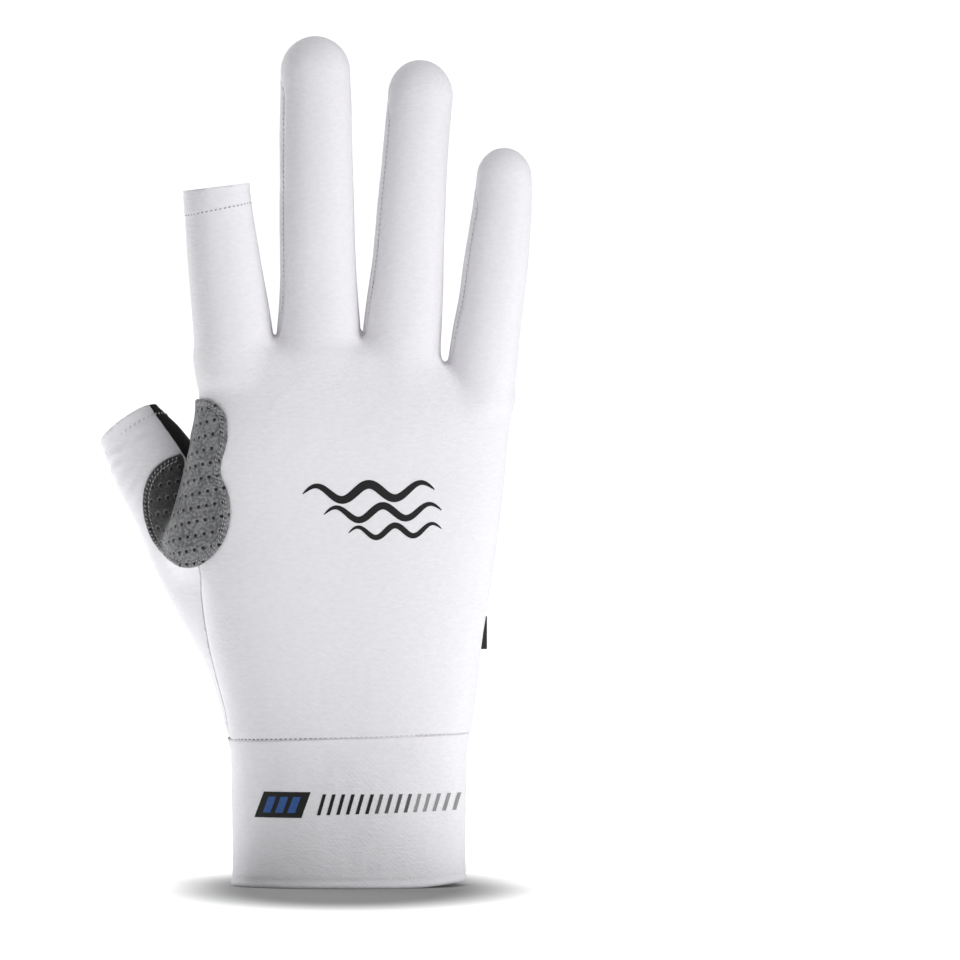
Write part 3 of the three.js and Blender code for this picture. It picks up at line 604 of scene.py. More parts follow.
def grip_seam(x, y, z):
    """Positive on the grip cloth of the thumb's palm side."""
    at, _ = thumb_station(x, z)
    border = thumb_across(x, z, at, THUMB_EDGE_LINE)
    on_thumb = np.minimum(border, y - thumb_at(at, THUMB_PLACES[:, 1])[0])
    on_hand = np.minimum(np.minimum(border, x - WEB[0] + 1.2), y - PALM_SEAM)
    return np.maximum(on_thumb, on_hand)


# Width of the strip by the distance from the thumb's rim
STRIP_WIDTHS = ((0.0, 3.0, 8.0, 14.0, 22.0), (1.5, 2.2, 3.4, 4.6, 5.2))
STRIP_FOOT = 119.0


def strip_seam(x, y, z):
    """Positive on the black strip along the thumb's upper edge, narrow at the rim, wider at the web. It stays
    on the thumb and doesn't reach over the web."""
    at, _ = thumb_station(x, z)
    middle, edge = thumb_at(at, THUMB_PLACES[:, 1], THUMB_HALF_WIDE)
    across = thumb_across(x, z, at, THUMB_PLACES)
    wide = np.interp(THUMB_LENGTHS[-1] - at, *STRIP_WIDTHS)
    along_it = np.minimum(np.minimum(across - (edge - wide), z - STRIP_FOOT), middle + 2.5 - y)
    return np.minimum(along_it, 0.8 - thumb_field(x, y, z))


# %% Rims of the two open tubes, and the top of the cuff
RIM_LEAN = np.array([-math.sin(math.radians(35.0)), math.cos(math.radians(35.0))])


def thumb_rim(x, y, z):
    """Positive below the thumb's rim. The rim reaches further out on the back of the thumb."""
    along = (x - THUMB_PLACES[-1, 0]) * RIM_LEAN[0] + (z - THUMB_PLACES[-1, 2]) * RIM_LEAN[1]
    return 0.2 + 0.3 * (THUMB_RIM[1] - y) - along


def index_rim(x, y, z):
    """Positive below the index finger's rim."""
    return 199.7 + 0.12 * (x + 38.0) - 0.02 * (y - 1.0) - z


def cuff_line(x, y):
    """Height of the seam between hand and cuff, which rises to the little finger's side."""
    return 42.9 + 1.0 * np.clip(x / 34.0, -1.1, 1.1)


# %% Seams of the fingers
def palm_seam(x, y, z):
    """Positive on the palm's cloth. Over each fingertip the white back reaches further round."""
    extra = np.zeros_like(x)
    for name in ("middle", "ring", "little"):
        finger = FINGERS[name]
        middle = (finger["root"] + finger["rows"][-1, 1]) * PALM_WIDTH
        top = KNUCKLES + finger["length"]
        near = fade(finger["width"] * 0.75 - np.abs(x - middle), 0.0, 3.0)
        extra = np.maximum(extra, near * 2.6 * fade(z, top - 12.0, top - 2.0))
    return y - bend(z) - PALM_SEAM - extra


GUSSETS = (("index", "middle"), ("middle", "ring"), ("ring", "little"))


def finger_middle(name, z):
    """Sideways place of a finger's middle line."""
    finger = FINGERS[name]
    along = (z - KNUCKLES) / finger["length"]
    return (finger["root"] + follow(along, finger["rows"][:, 0], finger["rows"][:, 1])) * PALM_WIDTH


def gusset_seam(first, second, x, y, z):
    """Positive on the side strip between two fingers. Its front seam shows on the left side of the right
    finger and lies further round on the left one, and its ends are pointed below the closed tips."""
    left = finger_middle(first, z)
    right = finger_middle(second, z)
    middle = (left + right) / 2.0
    turn = fade(x, middle - 3.0, middle + 3.0)
    front = -0.8 - 3.5 * turn
    for name, side in ((first, 1.0 - turn), (second, turn)):
        if FINGERS[name]["tip"]:
            top = KNUCKLES + FINGERS[name]["length"]
            front = front + side * (PALM_SEAM + 1.0 - front) * fade(z, top - 17.0, top - 5.0)
    depth = y - bend(z)
    across = np.minimum(x - left, right - x)
    return np.minimum(np.minimum(depth - front, across), z - (KNUCKLES - LITTLE_DROP - 9.0))


# %% [markdown]
# ## Cutting the panels
#
# A panel is the part of the skin where its seams' numbers are positive. Faces that a seam crosses are cut
# exactly on it, so the edge of each panel is a clean line.

# %% Cutting a mesh
def tidy(points, quads, tris, data):
    """Drops the points that no face uses."""
    used = np.zeros(len(points), bool)
    used[quads.ravel()] = True
    used[tris.ravel()] = True
    number = np.cumsum(used) - 1
    return points[used], number[quads], number[tris], {key: value[used] for key, value in data.items()}


def keep_where(mesh, value):
    """Part of a mesh where value, one number for each point, is positive.

    Faces across the border are split into triangles. A triangle with one corner inside becomes a smaller
    triangle, one with two corners inside a quad, and the new corners lie where the number is zero."""
    points, quads, tris, data = mesh
    good = value > 0.0
    held = good[quads]
    whole = held.all(axis=1)
    mixed = held.any(axis=1) & ~whole
    loose = np.concatenate([tris, quads[mixed][:, [0, 1, 2]], quads[mixed][:, [0, 2, 3]]])
    corners = good[loose]
    number = corners.sum(axis=1)

    def turned(count, odd):
        chosen = loose[number == count]
        first = np.argmax(corners[number == count] == odd, axis=1) if len(chosen) else np.zeros(0, int)
        return np.take_along_axis(chosen, (first[:, None] + np.arange(3)) % 3, axis=1)

    one = turned(1, True)
    two = turned(2, False)
    ends = np.concatenate([one[:, [0, 1]], one[:, [0, 2]], two[:, [0, 1]], two[:, [0, 2]]])
    pairs, name = np.unique(np.sort(ends, axis=1), axis=0, return_inverse=True)
    name = name.ravel() + len(points)
    start, end = value[pairs[:, 0]], value[pairs[:, 1]]
    t = np.clip(start / np.where(start == end, 1.0, start - end), 0.02, 0.98)

    def between(rows):
        weight = t.reshape((-1,) + (1,) * (rows.ndim - 1))
        return np.concatenate([rows, rows[pairs[:, 0]] * (1.0 - weight) + rows[pairs[:, 1]] * weight])

    a, b = name[:len(one)], name[len(one):2 * len(one)]
    c, d = name[2 * len(one):2 * len(one) + len(two)], name[2 * len(one) + len(two):]
    new_tris = np.concatenate([loose[number == 3], np.stack([one[:, 0], a, b], axis=1)])
    new_quads = np.concatenate([quads[whole], np.stack([c, two[:, 1], two[:, 2], d], axis=1)])
    return tidy(between(points), new_quads, new_tris, {key: between(row) for key, row in data.items()})


# %% [markdown]
# Cloth coordinates follow the cloth and not the view: a point's place on the flat view is pushed outwards
# where the surface turns away, by the length of an arc less its sine, so the weave and the holes keep their
# size round the sides of the fingers.

# %% Numbers on the skin
def cloth_place(points, normals, radius=10.0):
    """Flat place of each point, with the arc of its own tilt added, in millimetres."""
    level = np.hypot(normals[:, 0], normals[:, 2])
    angle = np.arctan2(level, np.abs(normals[:, 1]))
    push = radius * (angle - np.sin(angle)) / np.maximum(level, 1e-6)
    return np.stack([points[:, 0] + normals[:, 0] * push, points[:, 2] + normals[:, 2] * push], axis=1)


def soft_noise(points, wave, seed, count=10):
    """A gentle unevenness: the mean of a few sine waves in seeded directions."""
    source = np.random.default_rng(seed)
    ways = source.normal(size=(count, 3))
    ways /= np.linalg.norm(ways, axis=1)[:, None]
    waves = wave * source.uniform(0.7, 1.5, count)
    phases = source.uniform(0.0, 2.0 * np.pi, count)
    angles = points @ (ways / waves[:, None]).T * 2.0 * np.pi + phases
    return np.sin(angles).sum(axis=1) / math.sqrt(count)


def skin_push(points):
    """How far the cloth stands off or in without any seam: long soft waves and short low ones."""
    return 0.13 * soft_noise(points, 30.0, 5) + 0.03 * soft_noise(points, 8.0, 8)


x, y, z = skin_points.T
seams = {
    "thumb": thumb_seam(x, y, z),
    "palm": palm_seam(x, y, z),
    "grip": grip_seam(x, y, z),
    "strip": strip_seam(x, y, z),
    "thumb_rim": thumb_rim(x, y, z),
    "index_rim": np.where((z > 190.0) & (x < -26.0), index_rim(x, y, z), 10.0),
    "cuff": z - cuff_line(x, y),
}
for first, second in GUSSETS:
    seams[first] = gusset_seam(first, second, x, y, z)
print("seams:", ", ".join(seams))

# %% [markdown]
# ## Dents, hems and folds
#
# A sewn seam pulls the cloth in by a few tenths of a millimetre. The turned hems at the two rims are a
# little thicker than the rest. The thumb's cloth gathers into short folds beside the patch, where it bends.

# %% Shaping the skin
on_thumb = seams["thumb"] > 0.0
on_back = ~on_thumb & (seams["palm"] <= 1.0)
# distance from the seam, depth, width
dents = [
    (seams["thumb"], 0.60, 0.9),
    (np.where(on_thumb, FAR, seams["palm"]), 0.40, 0.9),
    *((np.where(on_back, seams[first], FAR), 0.30, 0.7) for first, _ in GUSSETS),
    (np.where(on_thumb, seams["grip"], FAR), 0.35, 0.8),
    (np.where(on_thumb, seams["strip"], FAR), 0.30, 0.7),
    (seams["cuff"], 0.30, 0.8),
]
push = np.zeros(len(skin_points))
for distance, depth, wide in dents:
    push -= depth * bell(distance, wide)

index_hem = seams["index_rim"]
hem_line = bell(index_hem - 6.6 + 0.1 * (x + 38.0), 0.7)
push += np.where(index_hem < 9.9, 0.16 * fade(8.0 - index_hem, 0.0, 1.6) - 0.16 * hem_line, 0.0)
thumb_hem = np.where(on_thumb, seams["thumb_rim"], FAR)
push += 0.14 * fade(4.2 - thumb_hem, 0.0, 1.2) - 0.25 * bell(thumb_hem - 3.1, 0.6)

folds = on_thumb * fade(-46.0 - x, 0.0, 6.0) * fade(y, 26.0, 8.0) * bell(z - 108.0, 13.0)
push += folds * (0.3 - (0.5 + 0.5 * np.cos((x * 0.88 - z * 0.47) * 1.5 + np.sin(z * 0.19))) ** 1.5)
wrinkle = np.sin((x * 0.75 - z * 0.66) * 1.9 + 1.5 * np.sin(x * 0.6 + z * 0.3))
push += 0.26 * on_thumb * wrinkle * bell(thumb_hem - 7.0, 4.5) * fade(x, -54.0, -61.0)
push += skin_push(skin_points)

NO_TRIS = np.zeros((0, 3), int)
skin_points = skin_points + skin_normals * push[:, None]
skin = (skin_points, skin_faces, NO_TRIS, {"cloth": cloth_place(skin_points, skin_normals), **seams})
print(f"cloth moved by {push.min():.2f} to {push.max():.2f} mm")

# %% The panels
# Half the gap of a seam, in its own number. Where the thumb's seam turns away from the flat view, beside
# the cuff, the gap on the cloth is much wider than this and the seam stands open.
GAP = 0.09
THUMB_GAP = 0.15
CUFF_GAP = 0.02


def part(mesh, name, sign, gap=GAP):
    """The side of one seam where sign times its number is positive, less half the seam's gap."""
    return keep_where(mesh, sign * mesh[3][name] - gap)


above_cuff = part(part(skin, "cuff", 1.0, CUFF_GAP), "index_rim", 1.0, 0.0)
thumb_cloth = part(part(above_cuff, "thumb", 1.0, THUMB_GAP), "thumb_rim", 1.0, 0.0)
hand_cloth = part(above_cuff, "thumb", -1.0, THUMB_GAP)
panels = {"palm_cloth": part(hand_cloth, "palm", 1.0)}
back = part(hand_cloth, "palm", -1.0)
for first, second in GUSSETS:
    panels[f"gusset_{first}_cloth"] = part(back, first, 1.0)
    back = part(back, first, -1.0)
panels["back_cloth"] = back
panels["thumb_strip_cloth"] = part(thumb_cloth, "strip", 1.0)
thumb_sides = part(thumb_cloth, "strip", -1.0)
panels["thumb_palm_cloth"] = part(thumb_sides, "grip", 1.0)
panels["thumb_back_cloth"] = part(thumb_sides, "grip", -1.0)
for name, (points, quads, tris, _) in panels.items():
    print(f"{name}: {len(quads)} quads, {len(tris)} triangles")

# %% [markdown]
# ## Materials
#
# The cloth finishes are made of nodes in cloth coordinates, where one unit is 100 mm. Thread, plastic and ink
# use the place in space.

# %% Node helpers
class Finish:
    """A material in the making: each call adds a node and wires what it is given."""

    def __init__(self, name):
        self.material = bpy.data.materials.new(name)
        self.material.use_nodes = True
        self.tree = self.material.node_tree
        self.tree.nodes.clear()
        self.shader = self.tree.nodes.new("ShaderNodeBsdfPrincipled")
        out = self.tree.nodes.new("ShaderNodeOutputMaterial")
        self.tree.links.new(self.shader.outputs[0], out.inputs[0])

    def wire(self, socket, value):
        if isinstance(value, bpy.types.NodeSocket):
            self.tree.links.new(value, socket)
        else:
            socket.default_value = value

    def math(self, kind, *values):
        node = self.tree.nodes.new("ShaderNodeMath")
        node.operation = kind
        for socket, value in zip(node.inputs, values):
            self.wire(socket, value)
        return node.outputs[0]

    def plus(self, first, second):
        return self.math("ADD", first, second)

    def minus(self, first, second):
        return self.math("SUBTRACT", first, second)

    def times(self, first, second):
        return self.math("MULTIPLY", first, second)

    def wave(self, value, turns, drift=0.0):
        """Sine of a coordinate, with so many turns in one unit, pushed along by a drift."""
        return self.math("SINE", self.plus(self.times(value, 2 * math.pi * turns), drift))

    def length(self, first, second):
        return self.math("SQRT", self.plus(self.times(first, first), self.times(second, second)))

    def cloth(self):
        node = self.tree.nodes.new("ShaderNodeUVMap")
        node.uv_map = "cloth"
        return node.outputs[0]

    def place(self):
        return self.tree.nodes.new("ShaderNodeTexCoord").outputs["Object"]

    def split(self, vector):
        node = self.tree.nodes.new("ShaderNodeSeparateXYZ")
        self.wire(node.inputs[0], vector)
        return node.outputs

    def noise(self, vector, scale, detail=2.0, rough=0.5, stretch=None):
        if stretch is not None:
            spread = self.tree.nodes.new("ShaderNodeMapping")
            self.wire(spread.inputs["Vector"], vector)
            spread.inputs["Scale"].default_value = stretch
            vector = spread.outputs[0]
        node = self.tree.nodes.new("ShaderNodeTexNoise")
        self.wire(node.inputs["Vector"], vector)
        node.inputs["Scale"].default_value = scale
        node.inputs["Detail"].default_value = detail
        node.inputs["Roughness"].default_value = rough
        return node.outputs[0]

    def spread(self, value, low, high, to_low=0.0, to_high=1.0, smooth=True):
        node = self.tree.nodes.new("ShaderNodeMapRange")
        node.interpolation_type = "SMOOTHSTEP" if smooth else "LINEAR"
        for socket, number in zip(node.inputs[:5], (value, low, high, to_low, to_high)):
            self.wire(socket, number)
        return node.outputs[0]

    def blend(self, share, first, second):
        node = self.tree.nodes.new("ShaderNodeMix")
        node.data_type = "RGBA"
        self.wire(node.inputs[0], share)
        self.wire(node.inputs[6], first)
        self.wire(node.inputs[7], second)
        return node.outputs[2]

    def bump(self, height, depth, strength=1.0, normal=None):
        node = self.tree.nodes.new("ShaderNodeBump")
        node.inputs["Strength"].default_value = strength
        node.inputs["Distance"].default_value = depth
        self.wire(node.inputs["Height"], height)
        if normal is not None:
            self.wire(node.inputs["Normal"], normal)
        return node.outputs[0]

    def set(self, **values):
        for name, value in values.items():
            self.wire(self.shader.inputs[name.replace("_", " ")], value)
        return self.material


def grey(level, warm=0.0):
    """A colour from its brightness, with a little less or more blue."""
    return (level * (1.0 + warm * 0.3), level, level * (1.0 - warm), 1.0)


# %% [markdown]
# The white knit is a fine stretch fabric. Its loops stand in columns half a millimetre apart, and a faint
# slanting rib crosses them. From a normal distance only a soft unevenness is left of that, so the relief of
# the loops is a few hundredths of a millimetre deep, that of the unevenness a quarter of a millimetre, and
# the colour hardly changes.

# %% White knit
KNIT_COLUMNS, KNIT_COURSES = 190.0, 150.0
RIB_ALONG, RIB_UP = 62.0, 66.0


def white_knit(name="white_knit", tone=1.0):
    finish = Finish(name)
    cloth = finish.cloth()
    u, v, _ = finish.split(cloth)
    wander = finish.times(finish.noise(cloth, 14.0, 2.0), 2.4)
    loops = finish.times(finish.wave(u, KNIT_COLUMNS, wander), finish.wave(v, KNIT_COURSES, wander))
    slant = finish.plus(finish.times(u, 2 * math.pi * RIB_ALONG), finish.times(v, 2 * math.pi * RIB_UP))
    rib = finish.math("SINE", finish.plus(slant, finish.times(finish.noise(cloth, 30.0, 2.0), 9.0)))
    height = finish.plus(finish.times(loops, 0.45), finish.times(rib, 0.25))
    grain = finish.noise(cloth, 105.0, 3.0, 0.65, (0.45, 1.0, 1.0))
    uneven = finish.bump(grain, 0.00026, 0.75, finish.bump(height, 0.00003, 0.8))
    low, high = ((level * tone, level * tone * 0.985, level * tone * 1.022, 1.0) for level in (0.80, 0.84))
    colour = finish.blend(finish.spread(grain, 0.3, 0.7), low, high)
    return finish.set(Base_Color=colour, Roughness=0.78, Sheen_Weight=0.15, Sheen_Roughness=0.5,
                      Specular_IOR_Level=0.25, Normal=uneven)


# %% [markdown]
# The grip cloth is a grey microfibre suede. Round holes of about 1 mm stand in staggered rows, 5.5 mm apart
# in a row and 2.85 mm from row to row. On the patch they stand 2.4 mm apart, in slanting rows of 3.9 mm. Each
# hole is painted near black for the shade inside it, its far edge gets a painted highlight, and the nap
# between the holes is mottled. Where the patch dips into the fold, it gets painted shade and looks darker.

# %% Grey grip cloth
HOLE_PITCH = 5.5
HOLE_ROW = 2.85
HOLE_RADIUS = 0.52


def grey_grip(name="grey_grip", tone=1.0, pitch=HOLE_PITCH, row=HOLE_ROW, turned=0.0, paints_fold_shade=False,
              coarse=0.62, span=0.10):
    """turned slants the rows of holes, in degrees. coarse is the share of the larger mottles, span how wide
    the brightness runs from dark to light, and paints_fold_shade reads the numbers of the painted shade in
    the fold."""
    finish = Finish(name)
    turn = finish.tree.nodes.new("ShaderNodeMapping")
    turn.inputs["Rotation"].default_value = (0.0, 0.0, math.radians(turned))
    finish.wire(turn.inputs["Vector"], finish.cloth())
    cloth = turn.outputs[0]
    nap_and_painted_shade = finish.noise(cloth, 110.0, 4.0, 0.65)
    fibre = finish.noise(cloth, 420.0, 2.0, 0.6)
    patchy = finish.times(finish.minus(finish.noise(cloth, 22.0, 3.0), 0.5), 0.25)
    light = finish.plus(finish.plus(finish.times(nap_and_painted_shade, coarse), finish.times(fibre, 1.0 - coarse)), patchy)
    share = finish.spread(light, 0.505 - span, 0.505 + span, smooth=False)
    colour = finish.blend(share, grey(0.098 * tone, -0.04), grey(0.235 * tone, -0.03))
    if paints_fold_shade:
        # Painted shade: where this attribute is 1, the colour is blended most of the way to near black.
        fold_shade_share = finish.tree.nodes.new("ShaderNodeAttribute")
        fold_shade_share.attribute_name = "nap_and_painted_shade"
        colour = finish.blend(fold_shade_share.outputs["Fac"], colour, finish.blend(0.78, colour, grey(0.012)))
    u, v, _ = finish.split(cloth)
    rows = finish.times(v, 100.0 / row)
    odd = finish.math("MODULO", finish.math("ABSOLUTE", finish.math("FLOOR", rows)), 2.0)
    across = finish.plus(finish.times(u, 100.0 / pitch), finish.times(odd, 0.5))
    du = finish.times(finish.minus(finish.math("FRACT", across), 0.5), pitch)
    dv = finish.times(finish.minus(finish.math("FRACT", rows), 0.5), row)
    out = finish.plus(finish.length(du, dv), finish.times(finish.minus(fibre, 0.5), 0.25))
    hole = finish.spread(out, HOLE_RADIUS + 0.10, HOLE_RADIUS - 0.14)
    near = finish.spread(out, HOLE_RADIUS + 0.45, HOLE_RADIUS + 0.05)
    # Painted highlight: the far edge of each hole is coloured lighter, as if it caught the light.
    highlight_side = finish.spread(finish.minus(du, dv), 0.2, -0.6)
    painted_rim_highlight = finish.times(finish.times(near, highlight_side), finish.minus(1.0, hole))
    colour = finish.blend(finish.times(painted_rim_highlight, 0.45), colour, grey(0.36 * tone, -0.03))
    # Painted shade: each hole is coloured near black for the shade inside it.
    colour = finish.blend(hole, colour, grey(0.006))
    height = finish.minus(finish.times(light, 0.7), hole)
    return finish.set(Base_Color=colour, Roughness=0.95, Sheen_Weight=0.25, Sheen_Roughness=0.6,
                      Specular_IOR_Level=0.15, Normal=finish.bump(height, 0.0006, 0.9))


# %% [markdown]
# The strip on the thumb is a smooth black knit with a fine rib along it. The webbing has a coarser rib. The
# clip is moulded plastic with a slightly grained skin. The print is black ink that has sunk into the knit.

# %% Black finishes and thread
def black_rib(name, level, ribs, rough, depth):
    finish = Finish(name)
    place = finish.cloth()
    _, v, _ = finish.split(place)
    fuzz = finish.noise(place, 260.0, 3.0, 0.6)
    tone = finish.blend(finish.spread(fuzz, 0.3, 0.7), grey(level * 0.6), grey(level * 1.5))
    height = finish.plus(finish.times(finish.wave(v, ribs), 0.5), fuzz)
    return finish.set(Base_Color=tone, Roughness=rough, Sheen_Weight=0.05, Specular_IOR_Level=0.25,
                      Normal=finish.bump(height, depth, 0.8))


def plain_finish(name, colour, rough, grain=600.0, depth=0.00004, specular=0.5):
    finish = Finish(name)
    fine = finish.noise(finish.place(), grain, 3.0)
    tint = finish.blend(finish.spread(fine, 0.3, 0.7), tuple(c * 0.85 for c in colour[:3]) + (1.0,), colour)
    return finish.set(Base_Color=tint, Roughness=rough, Specular_IOR_Level=specular,
                      Normal=finish.bump(fine, depth, 0.5))


def thread_with_painted_shade():
    """Thread of the cuff's seam, grey as painted shade on the thumb's side and lighter on the other."""
    finish = Finish("thread_with_painted_shade")
    across, _, _ = finish.split(finish.place())
    # Painted shade: the thread's colour runs from grey on the left to light grey on the right, across the
    # glove.
    colour = finish.blend(finish.spread(across, -0.022, 0.012), grey(0.20), grey(0.60))
    fine = finish.noise(finish.place(), 600.0, 3.0)
    return finish.set(Base_Color=colour, Roughness=0.7, Normal=finish.bump(fine, 0.00004, 0.5))


def ink(name, colour, rough=0.62):
    return plain_finish(name, colour, rough, 900.0, 0.00003, 0.3)


WHITE = white_knit()
WHITE_INSIDE = white_knit("white_knit_inside", 0.88)
GRIP = grey_grip(tone=1.3)
GRIP_BACKING = grey_grip("grip_backing", 1.5)
PATCH = grey_grip("grey_grip_patch", 1.12, pitch=2.4, row=3.9, turned=-12.0, paints_fold_shade=True, coarse=0.80,
                  span=0.06)
THREAD_LIGHT = plain_finish("thread_light", grey(0.50), 0.7)
STRIP = black_rib("black_strip", 0.007, 140.0, 0.7, 0.00006)
PLASTIC = plain_finish("black_plastic", grey(0.020), 0.38)
THREAD_GREY = plain_finish("thread_grey", grey(0.30), 0.7)
THREAD_WHITE = plain_finish("thread_white", grey(0.62), 0.7)
THREAD_WITH_PAINTED_SHADE = thread_with_painted_shade()
INK = ink("print_black", grey(0.010))
INK_BLUE = ink("print_blue", (0.035, 0.105, 0.330, 1.0), 0.6)

# %% [markdown]
# ## Making the pieces
#
# A panel becomes a mesh with its cloth coordinates and gets its thickness inwards, with a second finish for
# the inside. Each piece stands for one CAD node, which it hides, and hangs on the root body.

# %% From arrays to an object
def make_piece(name, mesh, materials, thickness=None, node=None):
    """An object from points in millimetres, with faces, cloth coordinates and a thickness."""
    points, quads, tris, data = mesh
    flesh = bpy.data.meshes.new(name)
    flesh.from_pydata((points * MM).tolist(), [], quads.tolist() + tris.tolist())
    layer = flesh.uv_layers.new(name="cloth")
    corner = np.empty(len(flesh.loops), int)
    flesh.loops.foreach_get("vertex_index", corner)
    layer.data.foreach_set("uv", (data["cloth"][corner] * 0.01).astype(np.float32).ravel())
    flesh.polygons.foreach_set("use_smooth", np.ones(len(flesh.polygons), bool))
    for material in materials:
        flesh.materials.append(material)
    # The patch carries its painted shade in the fold as a point attribute.
    if "nap_and_painted_shade" in data:
        nap_and_painted_shade = flesh.attributes.new("nap_and_painted_shade", "FLOAT", "POINT")
        nap_and_painted_shade.data.foreach_set("value", data["nap_and_painted_shade"].astype(np.float32))
    flesh.validate()
    piece = new_object(name, flesh)
    if thickness:
        solid = piece.modifiers.new("thickness", "SOLIDIFY")
        solid.thickness = thickness * MM
        solid.offset = -1.0
        solid.material_offset = len(materials) - 1
    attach(piece, "root")
    if node:
        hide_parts(node)
    return piece


# materials, CAD node, slot, flat size in metres
PIECES = {
    "back_cloth": ([WHITE, WHITE_INSIDE], "back_panel", "white_knit", (0.105, 0.200)),
    "palm_cloth": ([GRIP, GRIP_BACKING], "palm_panel", "grey_grip", (0.100, 0.195)),
    "gusset_index_cloth": ([WHITE, WHITE_INSIDE], "gusset_index_middle", "white_knit", (0.011, 0.120)),
    "gusset_middle_cloth": ([WHITE, WHITE_INSIDE], "gusset_middle_ring", "white_knit", (0.011, 0.150)),
    "gusset_ring_cloth": ([WHITE, WHITE_INSIDE], "gusset_ring_little", "white_knit", (0.011, 0.130)),
    "thumb_back_cloth": ([WHITE, WHITE_INSIDE], "thumb_back", "white_knit", (0.042, 0.100)),
    "thumb_palm_cloth": ([GRIP, GRIP_BACKING], "thumb_palm", "grey_grip", (0.048, 0.100)),
    "thumb_strip_cloth": ([STRIP, STRIP], "thumb_strip", "black_strip", (0.018, 0.019)),
}


def area_of(mesh):
    """Area of a mesh in square metres: half the length of each triangle's cross product."""
    points, quads, tris, _ = mesh
    faces = np.concatenate([tris, quads[:, [0, 1, 2]], quads[:, [0, 2, 3]]])
    a, b, c = (points[faces[:, corner]] for corner in range(3))
    return np.linalg.norm(np.cross(b - a, c - a), axis=1).sum() / 2.0 * MM * MM


for name, (materials, node, slot, flat) in PIECES.items():
    piece = make_piece(name, panels[name], materials, CLOTH, node)
    area = area_of(panels[name])
    share = area / (flat[0] * flat[1])
    print(f"{name}: {area * 1e4:.1f} cm2, {share:.2f} of its flat rectangle")

# %% [markdown]
# ## The cuff
#
# The cuff is a tube of the same knit, sewn on with a visible row of stitches. It is a surface of two
# numbers: the turn round the wrist and the place along a profile that runs down the outside, round the
# turned hem and up the inside.

# %% Cuff
# height, wide
CUFF_ROWS = np.array([
    [0.00, 1.000],
    [0.17, 0.995],
    [0.60, 0.998],
    [0.84, 1.003],
    [0.94, 1.016],
    [1.00, 1.034],
])


CUFF_LIFT = 1.3
HEM_TOP = 2.2
HEM_SHARE = 0.018
OUTSIDE_ROWS = 64
CUFF_COLUMNS = 260


def cuff_oval(height):
    """Fullness and half width of the cuff's section at a share of its height."""
    return 2.2 + 0.3 * fade(height, 0.6, 1.0), CUFF_WIDTH / 2.0 * follow(height, *CUFF_ROWS.T)


def cuff_point(turn, height, inward):
    """Point of the cuff: a super-ellipse, narrower by inward, at a height between the hem and its seam."""
    fullness, wide = cuff_oval(height)
    c, s = np.cos(turn), np.sin(turn)
    px = (wide - inward) * np.sign(c) * np.abs(c) ** (2.0 / fullness)
    py = (CUFF_DEPTH / 2.0 - inward) * np.sign(s) * np.abs(s) ** (2.0 / fullness)
    top = cuff_line(px, py) - 0.03
    lift = CUFF_LIFT * fade(px, 12.0, 35.0) ** 2
    return np.stack([px, py, lift + height * (top - lift)], axis=-1)


def cuff_profile():
    """Height share and inward distance along the profile, from the seam down, round and up the inside."""
    outside = np.linspace(1.0, HEM_SHARE, OUTSIDE_ROWS)
    tall = outside * CUFF_HEIGHT
    seam = 0.30 * bell(CUFF_HEIGHT - tall, 0.8)
    hem = 0.22 * bell(tall - HEM_TOP, 0.5) - 0.12 * fade(HEM_TOP - tall, 0.0, 0.8)
    round_turn = np.linspace(0.0, np.pi, 9)[1:-1]
    inside = np.linspace(HEM_SHARE, 1.0, 28)
    heights = np.concatenate([outside, HEM_SHARE - HEM_SHARE * np.sin(round_turn), inside])
    inward = np.concatenate([seam + hem, 0.8 - 0.92 * np.cos(round_turn), np.full(len(inside), 1.6)])
    return heights, inward


def cuff_lumps(points):
    """How far the cuff's cloth stands off or in: long soft waves and short low ones."""
    return 0.14 * soft_noise(points, 18.0, 21) + 0.05 * soft_noise(points, 6.0, 22)


def grid_quads(rows, columns, closed=False, loop=True):
    """Faces of a grid of points. In a closed grid the last row joins the first, in a loop the last column."""
    r, c = np.meshgrid(np.arange(rows if closed else rows - 1), np.arange(columns if loop else columns - 1),
                       indexing="ij")
    r2, c2 = (r + 1) % rows, (c + 1) % columns
    corners = [r * columns + c, r * columns + c2, r2 * columns + c2, r2 * columns + c]
    return np.stack(corners, axis=-1).reshape(-1, 4)


heights, inward = cuff_profile()
turn = np.linspace(0.0, 2.0 * np.pi, CUFF_COLUMNS, endpoint=False)
cuff_points = cuff_point(turn[None, :], heights[:, None], inward[:, None]).reshape(-1, 3)
cuff_points[:, 2] = np.maximum(cuff_points[:, 2], 0.0)
round_length = running_length(cuff_points[10 * CUFF_COLUMNS:11 * CUFF_COLUMNS])
cuff_cloth = np.stack([np.tile(round_length, len(heights)), cuff_points[:, 2]], axis=1)
cuff_faces = grid_quads(len(heights), CUFF_COLUMNS, True)[:, ::-1]
outwards = unit(cuff_points * (1.0, 1.0, 0.0))
outer_rows = np.arange(len(cuff_points)) // CUFF_COLUMNS < OUTSIDE_ROWS
held = fade(cuff_points[:, 2], 1.0, 5.0) * fade(42.0 - cuff_points[:, 2], 0.0, 4.0)
cuff_points = cuff_points + outwards * (cuff_lumps(cuff_points) * held * outer_rows)[:, None]
cuff = make_piece("cuff_cloth", (cuff_points, cuff_faces, NO_TRIS, {"cloth": cuff_cloth}), [WHITE],
                  node="cuff")
print(f"cuff: {round_length[-1]:.1f} mm round, {len(cuff_faces)} faces")

# %% [markdown]
# ## The patch over the web
#
# A piece of the grip cloth is sewn over the web between thumb and index finger, where the line runs. It
# lies on both and folds in the valley between them. Its edge is turned under and puffs up outside the
# stitches. It is the same form on a grid of half a millimetre, raised by the height of the patch.

